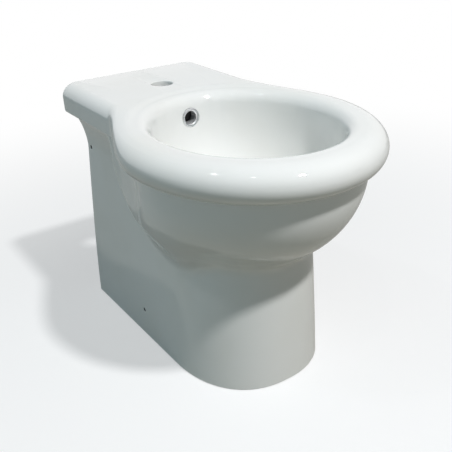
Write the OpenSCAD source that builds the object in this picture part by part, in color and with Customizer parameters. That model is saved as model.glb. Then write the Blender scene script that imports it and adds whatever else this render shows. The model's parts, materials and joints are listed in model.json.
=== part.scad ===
// Back-to-wall, floor-standing bidet.
// Frame: X across, +Y towards the wall, +Z up, origin under the middle of the footprint.

/* [Rim] */
// Width of the oval rim
rim_w = 370; // [340:1:400]
// Length of the oval rim, front to back
rim_l = 420; // [390:1:450]
// Height of the rim above the floor
rim_h = 400; // [385:1:410]
// Height of the rim's rounded band
rim_band = 52; // [44:1:58]
// Width of the rounding on the outside of the rim
rim_round = 30; // [24:1:34]
// Width from the rim's outer edge to its crest
rim_crest = 40; // [36:1:44]
// Radius from the crest down into the basin
lip_r = 18; // [12:1:22]

/* [Deck] */
// Distance from the wall to the middle of the oval rim
rim_to_wall = 350; // [335:1:370]
// Width of the tap deck
deck_w = 260; // [250:1:270]
// Height of the deck above the floor
deck_h = 403; // [400:0.5:406]
// Height of the deck's edge
deck_edge = 46; // [42:1:50]
// Radius along the deck's upper edge
deck_r = 17; // [12:1:20]
// Radius of the deck's corners, seen from above
deck_corner = 12; // [8:1:16]
// Thickness of the china under the tap
deck_t = 14; // [10:1:18]
// How softly the deck's top runs into the rim
deck_blend = 56; // [30:2:64]
// How softly the deck's edge runs into the rim's
notch_blend = 20; // [12:2:40]

/* [Basin] */
// Depth of the basin below its lip
basin_depth = 149; // [130:1:156]
// Fullness of the basin: 2 is an ellipse
basin_full = 2.3; // [2:0.1:2.8]
// Thickness of the china round the waste
basin_floor = 20; // [16:1:24]
// Width of the bowl's outer shell under the rim
bowl_w = 322; // [312:1:334]
// Length of the bowl's outer shell under the rim
bowl_l = 371; // [360:1:384]
// Reach of that shell behind the rim's middle
bowl_back = 230; // [215:1:240]
// Depth of that shell at the nose
bowl_depth = 156; // [150:1:166]
// Depth of that shell at the sides and the back
side_depth = 176; // [166:1:186]
// Fullness of its section there: 2 is an ellipse
side_full = 2.5; // [2:0.1:3]
// Squareness of its outline at the back: 2 is an ellipse
bowl_square = 3; // [2:0.5:4]

/* [Pedestal] */
// Width of the pedestal at the floor
base_w = 237; // [226:1:246]
// Depth of the pedestal at the floor
base_d = 442; // [425:1:455]
// Length of the pedestal's straight sides
base_straight = 294; // [280:1:305]
// Squareness of the pedestal's front: 2 is an ellipse
base_square = 2.3; // [2:0.1:2.8]
// Width of the pedestal at its waist
waist_w = 200; // [192:1:208]
// Height of the waist
waist_h = 290; // [280:1:300]
// How softly the bowl runs into the pedestal
bowl_blend = 30; // [20:1:50]
// Thickness of the china
wall = 11; // [9:0.5:13]
// Radius of the pedestal's rear corners
back_corner = 9; // [6:1:12]
// Height of the opening in the back
back_open_h = 322; // [322:1:334]
// Radius of that opening's upper corners
back_open_r = 14; // [8:1:15]

/* [Holes] */
// Diameter of the tap hole
tap_d = 35; // [32:0.5:37]
// Distance from the wall to the tap hole
tap_to_wall = 113; // [105:1:120]
// Diameter of the waste hole
waste_hole_d = 46; // [45:0.5:50]
// Diameter of the overflow hole
overflow_d = 24; // [20:0.5:25]
// Height of the overflow hole
overflow_h = 365; // [358:1:366]
// Bore of the overflow channel
channel_d = 12; // [9:0.5:13]
// Diameter of the fixing holes in the sides
side_hole_d = 7; // [6.6:0.1:8]
// Distance from the wall to the lower side holes
low_hole_to_wall = 194; // [170:1:210]
// Height of the lower side holes
low_hole_h = 49; // [44:1:54]
// Distance from the wall to the upper side holes
high_hole_to_wall = 18.5; // [16:0.5:24]
// Height of the upper side holes
high_hole_h = 290; // [270:1:296]

/* [Waste] */
// Outer diameter of the waste's threaded tube
waste_d = 42; // [40:0.5:43]
// Bore of the waste's threaded tube
waste_bore = 36; // [34:0.5:37]
// Length of the waste, flange included
waste_l = 68; // [64:1:74]
// Diameter of the waste's flange
flange_d = 62; // [56:1:62]
// Thickness of the waste's flange
flange_t = 2.5; // [2:0.1:3]
// Thickness of the soft ring under the flange
top_seal_t = 1.5; // [1:0.1:2]
// Height of the tapered rubber ring
bottom_seal_t = 9; // [7:0.5:11]
// Outer diameter of the tapered rubber ring
bottom_seal_d = 66; // [60:1:68]
// Thickness of the friction washer
washer_t = 1.5; // [1:0.1:2]
// Height of the back nut
backnut_t = 11; // [9:0.5:12]
// Width of the back nut across its flats
backnut_af = 58; // [54:0.5:60]

/* [Plug] */
// Diameter of the plug's cap
plug_d = 54; // [48:1:56]
// Height of the plug's dome
plug_dome = 7; // [5:0.5:9]
// Travel of the plug from open to closed
plug_travel = 8; // [6:0.5:9]
// Diameter of the plug's spindle
stem_d = 6; // [5:0.1:7]
// Outer diameter of the push-to-open cartridge
guide_d = 17; // [15:0.5:18]
// Length of the push-to-open cartridge
guide_l = 40; // [36:1:42]
// Thickness of the spring's wire
spring_wire = 1.2; // [0.8:0.1:1.4]
// Number of turns in the spring
spring_turns = 6; // [4:1:7]

/* [Trap] */
// Outer diameter of the trap's pipes
pipe_d = 32; // [30:0.5:33]
// Wall of the trap's pipes
pipe_t = 1.5; // [1:0.1:2]
// Height of the outlet pipe above the floor
outlet_h = 108; // [102:1:114]
// Outer diameter of the trap's head
head_d = 66; // [62:1:70]
// Wall of the trap's head and cup
head_t = 3; // [2.5:0.1:4]
// Height of the cup's underside above the floor
cup_h = 24; // [16:1:28]
// Depth of the water seal
water_seal = 48; // [45:1:50]
// Width of the union nuts beyond their pipe
nut_wall = 6.5; // [5.5:0.1:8]
// Gap between the outlet pipe's end and the wall
outlet_to_wall = 2; // [1:0.5:6]
// Length of the outlet pipe that goes into the drain's socket
insert_l = 45; // [35:1:55]

/* [Fixings] */
// Length of a floor bracket along the side
bracket_l = 40; // [34:1:50]
// Height of a floor bracket
bracket_h = 62; // [60:1:70]
// Width of a floor bracket's foot
bracket_foot = 42; // [38:1:50]
// Thickness of a floor bracket's foot and upright
bracket_t = 9; // [7:0.5:11]
// Hole for the screw into the floor
floor_screw_d = 7; // [6:0.5:8]
// Height of a wall bracket
angle_h = 34; // [28:1:40]
// Width of a wall bracket's leg on the wall
angle_wall_leg = 38; // [32:1:42]
// Width of a wall bracket's leg along the side
angle_side_leg = 34; // [32:1:40]
// Thickness of a wall bracket
angle_t = 3; // [2:0.5:4]
// Hole for the screw into the wall
wall_screw_d = 6.5; // [5:0.5:8]
// Diameter of the lock screws
lock_d = 6; // [5:0.5:6]
// Length of the lower lock screws
low_lock_l = 28; // [24:1:30]
// Length of the upper lock screws
high_lock_l = 18; // [16:1:20]
// Hexagon socket of the lock screws
lock_hex = 3; // [2.5:0.5:3.5]

/* [Fits] */
// Gap between a piece and a seat that isn't machined
seat_gap = 0.3; // [0.2:0.05:0.4]
// Radial clearance of a running fit
run_gap = 0.06; // [0.02:0.01:0.1]
// Radial clearance of threads and pushed-on rings
thread_gap = 0.1; // [0.05:0.01:0.15]

/* [Hidden] */
$fn = 64;

china = [0.95, 0.95, 0.93];
chrome = [0.78, 0.79, 0.81];
brass = [0.72, 0.58, 0.30];
rubber = [0.12, 0.12, 0.12];
white_plastic = [0.92, 0.92, 0.90];
grey_plastic = [0.45, 0.46, 0.47];
steel = [0.60, 0.61, 0.62];
cut = 1;
overlap = 0.01;

// Places along the length
depth = rim_to_wall + rim_l / 2;
wall_y = depth / 2;
rim_y = wall_y - rim_to_wall;
front_y = wall_y - base_straight;
front_l = base_d - base_straight;
tap_y = wall_y - tap_to_wall;

// Basin
lip_w = rim_crest + lip_r;
lip_z = rim_h - lip_r;
basin_a = rim_w / 2 - lip_w;
basin_b = rim_l / 2 - lip_w;
seat_z = lip_z - basin_depth;
under_z = seat_z - basin_floor;
seat_r = flange_d / 2 + 2;
bowl_top = rim_h - rim_band;
cap_r = waste_hole_d / 2 - 4;

// Overflow channel, a thick rib down the back of the basin
rib_t = channel_d + 8;
rib_half = 16;
rib_flat = 1.6;
rib_full = 0.8;
bezel_lip = 3;
overflow_y = rim_y + basin_b;

// Rings of the casting: points on half a ring, counted by stretch
back_n = 4;
corner_n = 4;
side_n = 18;
nose_n = 16;
half_n = back_n + corner_n + side_n + nose_n;
side_crowd = 0.62;
notch_near = 10;
notch_far = 108;

// ---------- outlines of the casting, seen from above ----------

function mix(a, b, t) = a + (b - a) * t;
function clamp01(t) = min(max(t, 0), 1);
function ease(t) = let (c = clamp01(t)) c * c * (3 - 2 * c);
function soft_max(a, b, k) = let (h = max(k - abs(a - b), 0) / k) max(a, b) + h * h * k / 4;

// Half width of an oval about the rim's middle, at a place along the length
function oval_x(a, b, y) = let (u = (y - rim_y) / max(b, 1)) abs(u) < 1 ? a * sqrt(1 - u * u) : 0;

// Radius of that oval in a direction, counted from the wall
function oval_r(a, b, turn) = a <= 0 ? 0 : 1 / sqrt(pow(sin(turn) / a, 2) + pow(cos(turn) / b, 2));

// Half width of the pedestal's straight side at a height: a taper, then a cove up to the deck
cove_top = deck_h - deck_edge;
cove_in = deck_w / 2 - 4;
cove_power = 1.8;
taper_power = 1.3;
function side_w(z) = z < waist_h
  ? mix(base_w / 2, waist_w / 2, pow(max(z, 0) / waist_h, taper_power))
  : let (t = clamp01((z - waist_h) / (cove_top - waist_h)))
    mix(waist_w / 2, cove_in, 1 - pow(1 - pow(t, cove_power), 1 / cove_power));

// Half width of the pedestal at a place along the length
function pedestal_x(y, z) = let (u = clamp01((front_y - y) / front_l))
  side_w(z) * pow(1 - pow(u, base_square), 1 / base_square);

// Radius of the pedestal from the rim's middle, found by halving
function pedestal_r(turn, z, low, high, steps) = let (mid = (low + high) / 2)
  steps == 0 ? mid
  : mid * sin(turn) < pedestal_x(rim_y + mid * cos(turn), z) && rim_y + mid * cos(turn) > front_y - front_l
    ? pedestal_r(turn, z, mid, high, steps - 1)
    : pedestal_r(turn, z, low, mid, steps - 1);

// The bowl's outer shell at a height: its section is round at the nose and fuller at the sides and the back
full_near = -130;
full_far = -40;
function bowl_part(z, y) = let (
    share = ease((y - full_near) / (full_far - full_near)),
    full = mix(2, side_full, share),
    u = clamp01((bowl_top - z) / mix(bowl_depth, side_depth, share))
  ) pow(1 - pow(u, full), 1 / full);
function bowl_x(z, y) = let (part = bowl_part(z, y), v = clamp01((y - rim_y) / max(bowl_back * part, 1)))
  bowl_w / 2 * part * pow(1 - pow(v, bowl_square), 1 / bowl_square);

// Places along the straight stretch, crowded towards the notch between deck and rim
function side_y(j) = let (t = j / side_n)
  mix(wall_y - deck_corner, rim_y, t + side_crowd * sin(360 * t) / (2 * PI));

// Weight of the deck at a place along the length: 1 on the deck, 0 on the rim
function deck_part(y) = ease((y - notch_near) / (notch_far - notch_near));

// A point on the back edge and its rounded corner
function back_point(w, y_back, r_c, i) = i <= back_n
  ? [(w - r_c) * i / back_n, y_back]
  : let (turn = 90 * (i - back_n) / corner_n) [w - r_c + r_c * sin(turn), y_back - r_c + r_c * cos(turn)];

function nose_turn(i) = 90 + 90 * (i - half_n + nose_n) / nose_n;

// The slab of deck and rim, drawn in by in_rim on the rim and in_deck on the deck
function slab_x(in_rim, in_deck, y, blend) = let (
    in = mix(in_rim, in_deck, deck_part(y)),
    x = oval_x(rim_w / 2 - in, rim_l / 2 - in, y)
  ) soft_max(x, deck_w / 2 - in_deck, blend);
function slab_point(in_rim, in_deck, in_back, i, blend) =
  i <= back_n + corner_n
    ? back_point(deck_w / 2 - in_deck, wall_y - in_back, deck_corner, i)
  : i <= back_n + corner_n + side_n
    ? let (y = side_y(i - back_n - corner_n)) [slab_x(in_rim, in_deck, y, blend), y]
  : let (turn = nose_turn(i), r = oval_r(rim_w / 2 - in_rim, rim_l / 2 - in_rim, turn))
    [r * sin(turn), rim_y + r * cos(turn)];

// The bowl and pedestal at a height; body_tuck keeps them inside the slab's lower edge
body_tuck = 1.5;
nose_reach = 100;
halvings = 16;
function body_point(z, i) =
  i <= back_n + corner_n
    ? back_point(side_w(z), wall_y, back_corner, i)
  : i <= back_n + corner_n + side_n
    ? let (
        y = side_y(i - back_n - corner_n),
        x = soft_max(bowl_x(z, y), pedestal_x(y, z), bowl_blend),
        edge = slab_x(rim_round * (1 - cos(rim_last)), edge_r, y, notch_blend)
      ) [-soft_max(-x, body_tuck - edge, 2 * body_tuck), y]
  : let (
      turn = nose_turn(i),
      part = bowl_part(z, rim_y + nose_reach * cos(turn)),
      r_bowl = oval_r(bowl_w / 2 * part, bowl_l / 2 * part, turn),
      r = soft_max(r_bowl, pedestal_r(turn, z, 0, depth, halvings), bowl_blend)
    ) [r * sin(turn), rim_y + r * cos(turn)];

// Half a ring at each level, as points with their heights
function slab_ring(in_rim, in_deck, in_back, z_rim, z_deck, blend) = [
  for (i = [0 : half_n])
    let (p = slab_point(in_rim, in_deck, in_back, i, blend))
    [p.x, p.y, mix(z_rim, z_deck, deck_share[i])]
];
function body_ring(z, lift) = [
  for (i = [0 : half_n])
    let (h = z + lift * deck_share[i], p = body_point(h, i))
    [p.x, p.y, h]
];

// Ring drawn in by a distance, square to its outline
function drawn_in(ring, d, z) = [
  for (i = [0 : half_n])
    let (
      before = i == 0 ? [-ring[1].x, ring[1].y] : [ring[i - 1].x, ring[i - 1].y],
      after = i == half_n ? [-ring[i - 1].x, ring[i - 1].y] : [ring[i + 1].x, ring[i + 1].y],
      run = (after - before) / norm(after - before),
      x = ring[i].x + run.y * d,
      y = ring[i].y - run.x * d
    ) [i == 0 || i == half_n ? 0 : x, y, is_undef(z) ? ring[i].z : z]
];

// Ovals inside the rim, at the turns of the slab's own points
slab_edge = [for (i = [0 : half_n]) slab_point(0, 0, 0, i, deck_blend)];
turns = [for (p = slab_edge) atan2(p.x, p.y - rim_y)];
deck_share = [for (i = [0 : half_n]) i <= back_n + corner_n ? 1 : deck_part(slab_edge[i].y)];
function oval_ring(a, b, z_rim, z_deck, rib = 0) = [
  for (i = [0 : half_n])
    let (
      r = oval_r(a, b, turns[i]),
      swell = turns[i] < 90 ? rib * ease(rib_flat - abs(r * sin(turns[i])) / rib_half) : 0
    )
    [(r + swell) * sin(turns[i]), rim_y + (r + swell) * cos(turns[i]), mix(z_rim, z_deck, deck_share[i])]
];

// Share of the basin's half axes, and of its depth, at an angle down from the lip
function basin_out(turn) = pow(cos(turn), 2 / basin_full);
function basin_down(turn) = pow(sin(turn), 2 / basin_full);
function basin_turn(a, r) = acos(pow(r / a, basin_full / 2));

// ---------- ceramic body ----------

basin_steps = 9;
lip_steps = 4;
slab_steps = 9;
face_steps = 4;
wall_steps = 16;
under_steps = 7;
under_first = 12;
rim_first = 60;
rim_last = -75;
edge_r = 4;
back_r = 4;
foot_bevel = 1.5;
hollow_corner = 6;
roof_h = deck_h - deck_t;
body_crowd = 1.3;
lift_power = 6;
under_a = basin_a + wall;
under_b = basin_b + wall;
under_depth = lip_z - under_z;
flat_under_r = seat_r + 4;

function basin_half() = [
  oval_ring(cap_r, cap_r, seat_z, seat_z),
  oval_ring(seat_r - 1, seat_r - 1, seat_z, seat_z),
  for (k = [0 : basin_steps])
    let (
      turn = basin_turn(basin_a, seat_r + 1) * (1 - k / basin_steps),
      z = lip_z - basin_depth * basin_down(turn)
    )
    oval_ring(basin_a * basin_out(turn), basin_b * basin_out(turn), z, z),
  for (k = [1 : lip_steps])
    let (turn = 90 * k / lip_steps, in = rim_crest + lip_r * cos(turn), z = lip_z + lip_r * sin(turn))
    oval_ring(rim_w / 2 - in, rim_l / 2 - in, z, z)
];

// From the crest to the flat of the deck, or to the first of the rim's rounding
crest_lean = 15;
function crest_half() = [
  for (k = [1 : 3])
    let (
      in = mix(rim_crest, rim_round, k / 2),
      turn = 90 - crest_lean * max(k - 2, 0),
      in_rim = k < 3 ? in : rim_round * (1 - cos(turn)),
      z_rim = rim_h - rim_band / 2 * (1 - sin(turn))
    )
    oval_ring(rim_w / 2 - in_rim, rim_l / 2 - in_rim, z_rim, mix(rim_h, deck_h, ease(k / 3)))
];

function slab_half() = [
  for (k = [0 : slab_steps])
    let (
      turn = mix(rim_first, rim_last, k / slab_steps),
      in_rim = rim_round * (1 - cos(turn)),
      z_rim = rim_h - rim_band / 2 * (1 - sin(turn)),
      upper = 90 * (1 - min(k / face_steps, 1)),
      lower = 90 * clamp01((k - face_steps - 2) / (slab_steps - face_steps - 2)),
      face = clamp01((k - face_steps) / 2) * (deck_edge - deck_r - edge_r),
      in_deck = deck_r * (1 - cos(upper)) + edge_r * (1 - cos(lower)),
      z_deck = deck_h - deck_r * (1 - sin(upper)) - face - edge_r * sin(lower)
    )
    slab_ring(in_rim, in_deck, back_r * (1 - cos(upper)), z_rim, z_deck,
      mix(deck_blend, notch_blend, ease(k / face_steps)))
];

function level(k) = bowl_top * (1 - pow(k / wall_steps, body_crowd));
function lift(k) = (cove_top - bowl_top) * pow(1 - k / wall_steps, lift_power);
function outer_half() = [
  body_ring(level(0.5), lift(0.5)),
  for (k = [1 : wall_steps - 1]) body_ring(level(k), lift(k)),
  body_ring(foot_bevel, 0),
  drawn_in(body_ring(0, 0), foot_bevel, 0)
];

// The inside of the pedestal: the outer rings drawn in by the wall, with tighter rear corners
function hollow_ring(z, lift) = let (in = drawn_in(body_ring(z, lift), wall)) [
  for (i = [0 : half_n])
    let (p = i > back_n + corner_n ? in[i] : back_point(side_w(z + lift) - wall, wall_y - wall, hollow_corner, i))
    [p.x, p.y, in[i].z]
];
function hollow_half() = [
  hollow_ring(0, 0),
  for (k = [wall_steps - 1 : -1 : 1]) hollow_ring(level(k), lift(k)),
  let (top = drawn_in(hollow_ring(level(1), lift(1)), edge_r))
    [for (i = [0 : half_n]) [top[i].x, top[i].y, mix(bowl_top + 2, roof_h, deck_share[i])]],
  oval_ring(under_a, under_b, bowl_top + 2, roof_h, rib_t),
  for (k = [1 : under_steps])
    let (
      turn = mix(under_first, basin_turn(under_a, flat_under_r), k / under_steps),
      z = lip_z - under_depth * basin_down(turn)
    )
    oval_ring(under_a * basin_out(turn), under_b * basin_out(turn), z, z, rib_t * min(1, 2 - 2 * k / under_steps)),
  oval_ring(flat_under_r - 1, flat_under_r - 1, under_z, under_z),
  oval_ring(cap_r, cap_r, under_z, under_z)
];

// Whole ring from its half, and the skin over a stack of rings
function whole(half) = concat(half, [for (i = [half_n - 1 : -1 : 1]) [-half[i].x, half[i].y, half[i].z]]);

module casting() {
  halves = concat(basin_half(), crest_half(), slab_half(), outer_half(), hollow_half());
  n = 2 * half_n;
  last = len(halves) - 1;
  points = [for (half = halves) each whole(half)];
  skin = [
    for (k = [0 : last - 1])
      for (i = [0 : n - 1])
        let (a = k * n + i, b = k * n + (i + 1) % n)
        each [[a, b + n, b], [a, a + n, b + n]]
  ];
  caps = [[for (i = [0 : n - 1]) i], [for (i = [n - 1 : -1 : 0]) last * n + i]];
  polyhedron(points = points, faces = concat(skin, caps), convexity = 12);
}

// Middle of the overflow channel at an angle down from the lip, as [y, z]
function channel_point(turn) = [
  rim_y + (basin_b + under_b + rib_t * rib_full) / 2 * basin_out(turn),
  lip_z - (basin_depth + under_depth) / 2 * basin_down(turn)
];
channel_turns = [6, 32, 56, 80];
channel_last = 88;
channel_path = concat(
  [for (turn = channel_turns) channel_point(turn)],
  [[rim_y + waste_hole_d / 2 - cut, channel_point(channel_last)[1]]]
);

// Straight runs that stop a little short inside a slightly wider ball at each bend
bend_wider = 1;
bend_short = 2.8;
module channel() {
  last = len(channel_path) - 2;
  for (k = [0 : last])
    let (
      run = channel_path[k + 1] - channel_path[k],
      skip = k == 0 ? 0 : bend_short,
      from = channel_path[k] + run / norm(run) * skip,
      h = norm(run) - skip - (k == last ? 0 : bend_short)
    )
    translate([0, from[0], from[1]])
      rotate([atan2(run[1], run[0]) - 90, 0, 0])
        cylinder(d = channel_d, h = h);
  for (k = [1 : last])
    translate([0, channel_path[k][0], channel_path[k][1]]) sphere(d = channel_d + 2 * bend_wider);
}

module side_hole(y, z) {
  translate([-rim_w / 2, y, z]) rotate([0, 90, 0]) cylinder(d = side_hole_d, h = rim_w);
}

back_lip = 0.6;
back_half = waist_w / 2 - wall - back_lip;
module back_opening() {
  half = back_half;
  r = back_open_r;
  translate([0, wall_y + cut, 0])
    rotate([90, 0, 0])
      linear_extrude(wall + hollow_corner + 2 * cut) {
        translate([-half, -cut]) square([2 * half, back_open_h - r + cut]);
        translate([-half + r, 0]) square([2 * (half - r), back_open_h]);
        for (side = [-1, 1])
          translate([side * (half - r), back_open_h - r]) circle(r);
      }
}

pad_deep = 0.6;
pad_reach = 6;
overflow_seat_y = overflow_y + pad_deep;
bezel_d = overflow_d + 2 * bezel_lip;
overflow_deep = 20;

module ceramic_body() {
  color(china)
    difference() {
      casting();
      translate([0, tap_y, roof_h - cut]) cylinder(d = tap_d, h = deck_t + 2 * cut);
      translate([0, rim_y, under_z - cut]) cylinder(d = waste_hole_d, h = basin_floor + 2 * cut);
      at_overflow() translate([0, 0, -pad_reach]) cylinder(d = bezel_d + 1, h = pad_reach);
      at_overflow() translate([0, 0, -cut]) cylinder(d = overflow_d, h = overflow_deep + cut);
      channel();
      side_hole(wall_y - low_hole_to_wall, low_hole_h);
      side_hole(wall_y - high_hole_to_wall, high_hole_h);
      back_opening();
    }
}

// ---------- overflow ring ----------

bezel_t = 2.2;
bezel_seal_t = 0.8;
bezel_bore = overflow_d - 4;
bezel_sleeve = 14;

module at_overflow() {
  translate([0, overflow_seat_y, overflow_h]) rotate([-90, 0, 0]) children();
}

module ring(outer, inner, h) {
  difference() {
    cylinder(d = outer, h = h);
    translate([0, 0, -cut]) cylinder(d = inner, h = h + 2 * cut);
  }
}

module overflow_bezel() {
  bead = bezel_t / 2;
  sleeve_d = overflow_d - 2 * seat_gap;
  color(chrome)
    at_overflow() {
      rotate_extrude() {
        translate([bezel_bore / 2, -bezel_seal_t - bead]) square([(bezel_d - bezel_bore) / 2 - bead, bead]);
        translate([bezel_bore / 2 + bead, -bezel_seal_t - bezel_t])
          square([(bezel_d - bezel_bore) / 2 - 2 * bead, bead]);
        translate([bezel_bore / 2 + bead, -bezel_seal_t - bead]) circle(bead);
        translate([bezel_d / 2 - bead, -bezel_seal_t - bead]) circle(bead);
        translate([bezel_bore / 2, -bezel_seal_t - bead])
          square([(sleeve_d - bezel_bore) / 2, bezel_seal_t + bead + bezel_sleeve]);
      }
    }
}

module overflow_seal() {
  color(rubber)
    at_overflow()
      translate([0, 0, -bezel_seal_t])
        ring(bezel_d - 1, overflow_d - 2 * seat_gap + 2 * thread_gap, bezel_seal_t);
}

// ---------- waste ----------

flange_z = seat_z + top_seal_t;
flange_top = flange_z + flange_t;
waste_z = flange_top - waste_l;
thread_r = waste_d / 2 + thread_gap;
cone_r = waste_bore / 2 + 5;
cone_t = 5;
edge_bevel = 0.8;
flange_slope = 3;
slot_w = 7;
slot_h = 10;
hub_wall = 2;
hub_h = 12;
arm_t = 2.5;
arm_sink = 0.5;

// Push-to-open cartridge: its top, its chamber and the collar on the spindle
guide_top = flange_top - 6;
guide_z = guide_top - guide_l;
guide_cap = 4;
guide_foot = 2.5;
collar_t = 2.5;
chamber_r = guide_d / 2 - 2;
collar_r = chamber_r - 0.4;
collar_z = guide_top - guide_cap - collar_t - seat_gap;
hub_z = guide_z + hub_wall;
plug_seal_t = 3;
plug_z = flange_top + plug_travel + seat_gap;
plug_rim = 2;
plug_boss_r = 8;
plug_boss_h = 2;
stem_socket = 2;
shoulder_t = 3;
shoulder_r = plug_boss_r - 1;
seal_low_r = cone_r - 3.75;
seal_high_r = cone_r - 2.25;

module waste_body() {
  color(chrome)
    translate([0, rim_y, 0]) {
      difference() {
        rotate_extrude()
          polygon([
            [waste_bore / 2, waste_z],
            [waste_d / 2 - edge_bevel, waste_z],
            [waste_d / 2, waste_z + edge_bevel],
            [waste_d / 2, flange_z],
            [flange_d / 2 - edge_bevel, flange_z],
            [flange_d / 2, flange_z + edge_bevel],
            [flange_d / 2 - flange_slope, flange_top],
            [cone_r, flange_top],
            [waste_bore / 2, flange_top - cone_t]
          ]);
        for (turn = [0 : 90 : 270])
          rotate(turn)
            translate([-slot_w / 2, waste_bore / 2 - cut, (seat_z + under_z - slot_h) / 2])
              cube([slot_w, (waste_d - waste_bore) / 2 + 2 * cut, slot_h]);
      }
      translate([0, 0, hub_z]) {
        ring(guide_d + 2 * hub_wall, guide_d + 2 * thread_gap, hub_h);
        for (turn = [45 : 90 : 315])
          rotate(turn)
            translate([guide_d / 2 + hub_wall / 2, -arm_t / 2, 0])
              cube([(waste_bore - guide_d - hub_wall) / 2 + arm_sink, arm_t, hub_h]);
      }
    }
}

module waste_top_seal() {
  color(white_plastic)
    translate([0, rim_y, seat_z]) ring(flange_d - 2, 2 * thread_r, top_seal_t);
}

bottom_seal_taper = 4;
module waste_bottom_seal() {
  color(rubber)
    translate([0, rim_y, under_z - bottom_seal_t])
      difference() {
        cylinder(d1 = bottom_seal_d - 2 * bottom_seal_taper, d2 = bottom_seal_d, h = bottom_seal_t);
        translate([0, 0, -cut]) cylinder(r = thread_r, h = bottom_seal_t + 2 * cut);
      }
}

washer_z = under_z - bottom_seal_t - washer_t;
washer_d = bottom_seal_d - 6;
module waste_washer() {
  color(white_plastic)
    translate([0, rim_y, washer_z]) ring(washer_d, 2 * thread_r, washer_t);
}

backnut_z = washer_z - backnut_t;
backnut_flange_t = 3;
backnut_flange_d = backnut_af + 3;
module waste_backnut() {
  color(brass)
    translate([0, rim_y, backnut_z])
      difference() {
        union() {
          cylinder(d = backnut_af / cos(30), h = backnut_t - backnut_flange_t, $fn = 6);
          translate([0, 0, backnut_t - backnut_flange_t]) cylinder(d = backnut_flange_d, h = backnut_flange_t);
        }
        translate([0, 0, -cut]) cylinder(r = thread_r, h = backnut_t + 2 * cut);
      }
}

// ---------- plug ----------

module at_plug(z) {
  translate([0, rim_y, z]) children();
}

module plug_cap() {
  // The dome is a slice of a sphere that spans the cap
  dome_r = (pow(plug_d / 2, 2) + pow(plug_dome, 2)) / (2 * plug_dome);
  socket_h = plug_boss_h + plug_rim + stem_socket;
  color(chrome)
    at_plug(plug_z)
      difference() {
        union() {
          cylinder(d = plug_d, h = plug_rim);
          translate([0, 0, -plug_boss_h]) cylinder(r = plug_boss_r, h = plug_boss_h + plug_rim / 2);
          intersection() {
            translate([0, 0, plug_rim + plug_dome - dome_r]) sphere(dome_r);
            translate([0, 0, plug_rim - overlap]) cylinder(d = plug_d, h = plug_dome + cut);
          }
        }
        translate([0, 0, -plug_boss_h - cut]) cylinder(d = stem_d + 2 * thread_gap, h = socket_h + cut);
      }
}

module plug_seal() {
  color(rubber)
    at_plug(plug_z - plug_seal_t)
      difference() {
        cylinder(r1 = seal_low_r, r2 = seal_high_r, h = plug_seal_t);
        translate([0, 0, -cut]) cylinder(r = plug_boss_r + thread_gap, h = plug_seal_t + 2 * cut);
      }
}

module plug_stem() {
  color(steel)
    at_plug(0) {
      translate([0, 0, collar_z]) cylinder(d = stem_d, h = plug_z + plug_rim + stem_socket - seat_gap - collar_z);
      translate([0, 0, collar_z]) cylinder(r = collar_r, h = collar_t);
      translate([0, 0, plug_z - plug_boss_h - shoulder_t]) cylinder(r = shoulder_r, h = shoulder_t);
    }
}

spring_r = collar_r - spring_wire / 2 - 0.4;
spring_seat = 0.05;
spring_z = guide_z + guide_foot;
spring_sides = 6;
spring_cuts = 14;

// Middle of the spring's wire: its turns lie close at both ends
function spring_point(t) = let (
    low = spring_z + spring_wire / 2 + spring_seat,
    high = collar_z - spring_wire / 2 - spring_seat,
    turn = 360 * spring_turns * t
  ) [spring_r * cos(turn), spring_r * sin(turn), mix(low, high, t)];

module plug_spring() {
  n = spring_turns * spring_cuts;
  slope = (collar_z - spring_z) / (2 * PI * spring_r * spring_turns);
  points = [
    for (k = [0 : n])
      let (p = spring_point(k / n), turn = 360 * spring_turns * k / n)
      for (s = [0 : spring_sides - 1])
        let (
          side_turn = 360 * s / spring_sides,
          out = spring_wire / 2 * cos(side_turn),
          up = spring_wire / 2 * sin(side_turn)
        )
        p + [
          out * cos(turn) + up * slope * sin(turn),
          out * sin(turn) - up * slope * cos(turn),
          up
        ]
  ];
  skin = [
    for (k = [0 : n - 1])
      for (s = [0 : spring_sides - 1])
        let (a = k * spring_sides + s, b = k * spring_sides + (s + 1) % spring_sides)
        each [[a, b, b + spring_sides], [a, b + spring_sides, a + spring_sides]]
  ];
  caps = [
    [for (s = [spring_sides - 1 : -1 : 0]) s],
    [for (s = [0 : spring_sides - 1]) n * spring_sides + s]
  ];
  color(steel)
    at_plug(0) polyhedron(points = points, faces = concat(skin, caps), convexity = 10);
}

module plug_guide() {
  color(white_plastic)
    at_plug(guide_z)
      difference() {
        cylinder(d = guide_d, h = guide_l);
        translate([0, 0, guide_foot]) cylinder(r = chamber_r, h = guide_l - guide_foot - guide_cap);
        translate([0, 0, guide_l - guide_cap - cut]) cylinder(r = stem_d / 2 + run_gap, h = guide_cap + 2 * cut);
        translate([0, 0, -cut]) cylinder(d = stem_d, h = guide_foot + 2 * cut);
      }
}

// ---------- trap ----------

pipe_r = pipe_d / 2;
joint_d = pipe_d + 10;
nut_d = joint_d + 2 * nut_wall;
lip_t = 3;
cone_washer_t = 5;
union_washer_t = 2;
tube_collar_t = 2.5;
grip = 14;
cup_grip = 13;
nut_room = 2;
nut_ribs = 16;
scallop_r = 2.4;
scallop_out = 1.2;
neck_bore = pipe_d + 2 * seat_gap;

// Levels of the trap, from the waste down
tube_top = waste_z - union_washer_t;
head_shoulder = outlet_h + joint_d / 2 - 1;
head_top = head_shoulder + grip + nut_room;
collar_top = outlet_h - joint_d / 2 - nut_room;
skirt_z = collar_top - cup_grip;
cup_floor = cup_h + head_t;
dip_z = outlet_h - pipe_r + pipe_t - water_seal;
neck_l = 22;
outlet_neck = head_d / 2 + neck_l;
head_slope_h = 4;
head_slope_w = 5;

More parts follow.
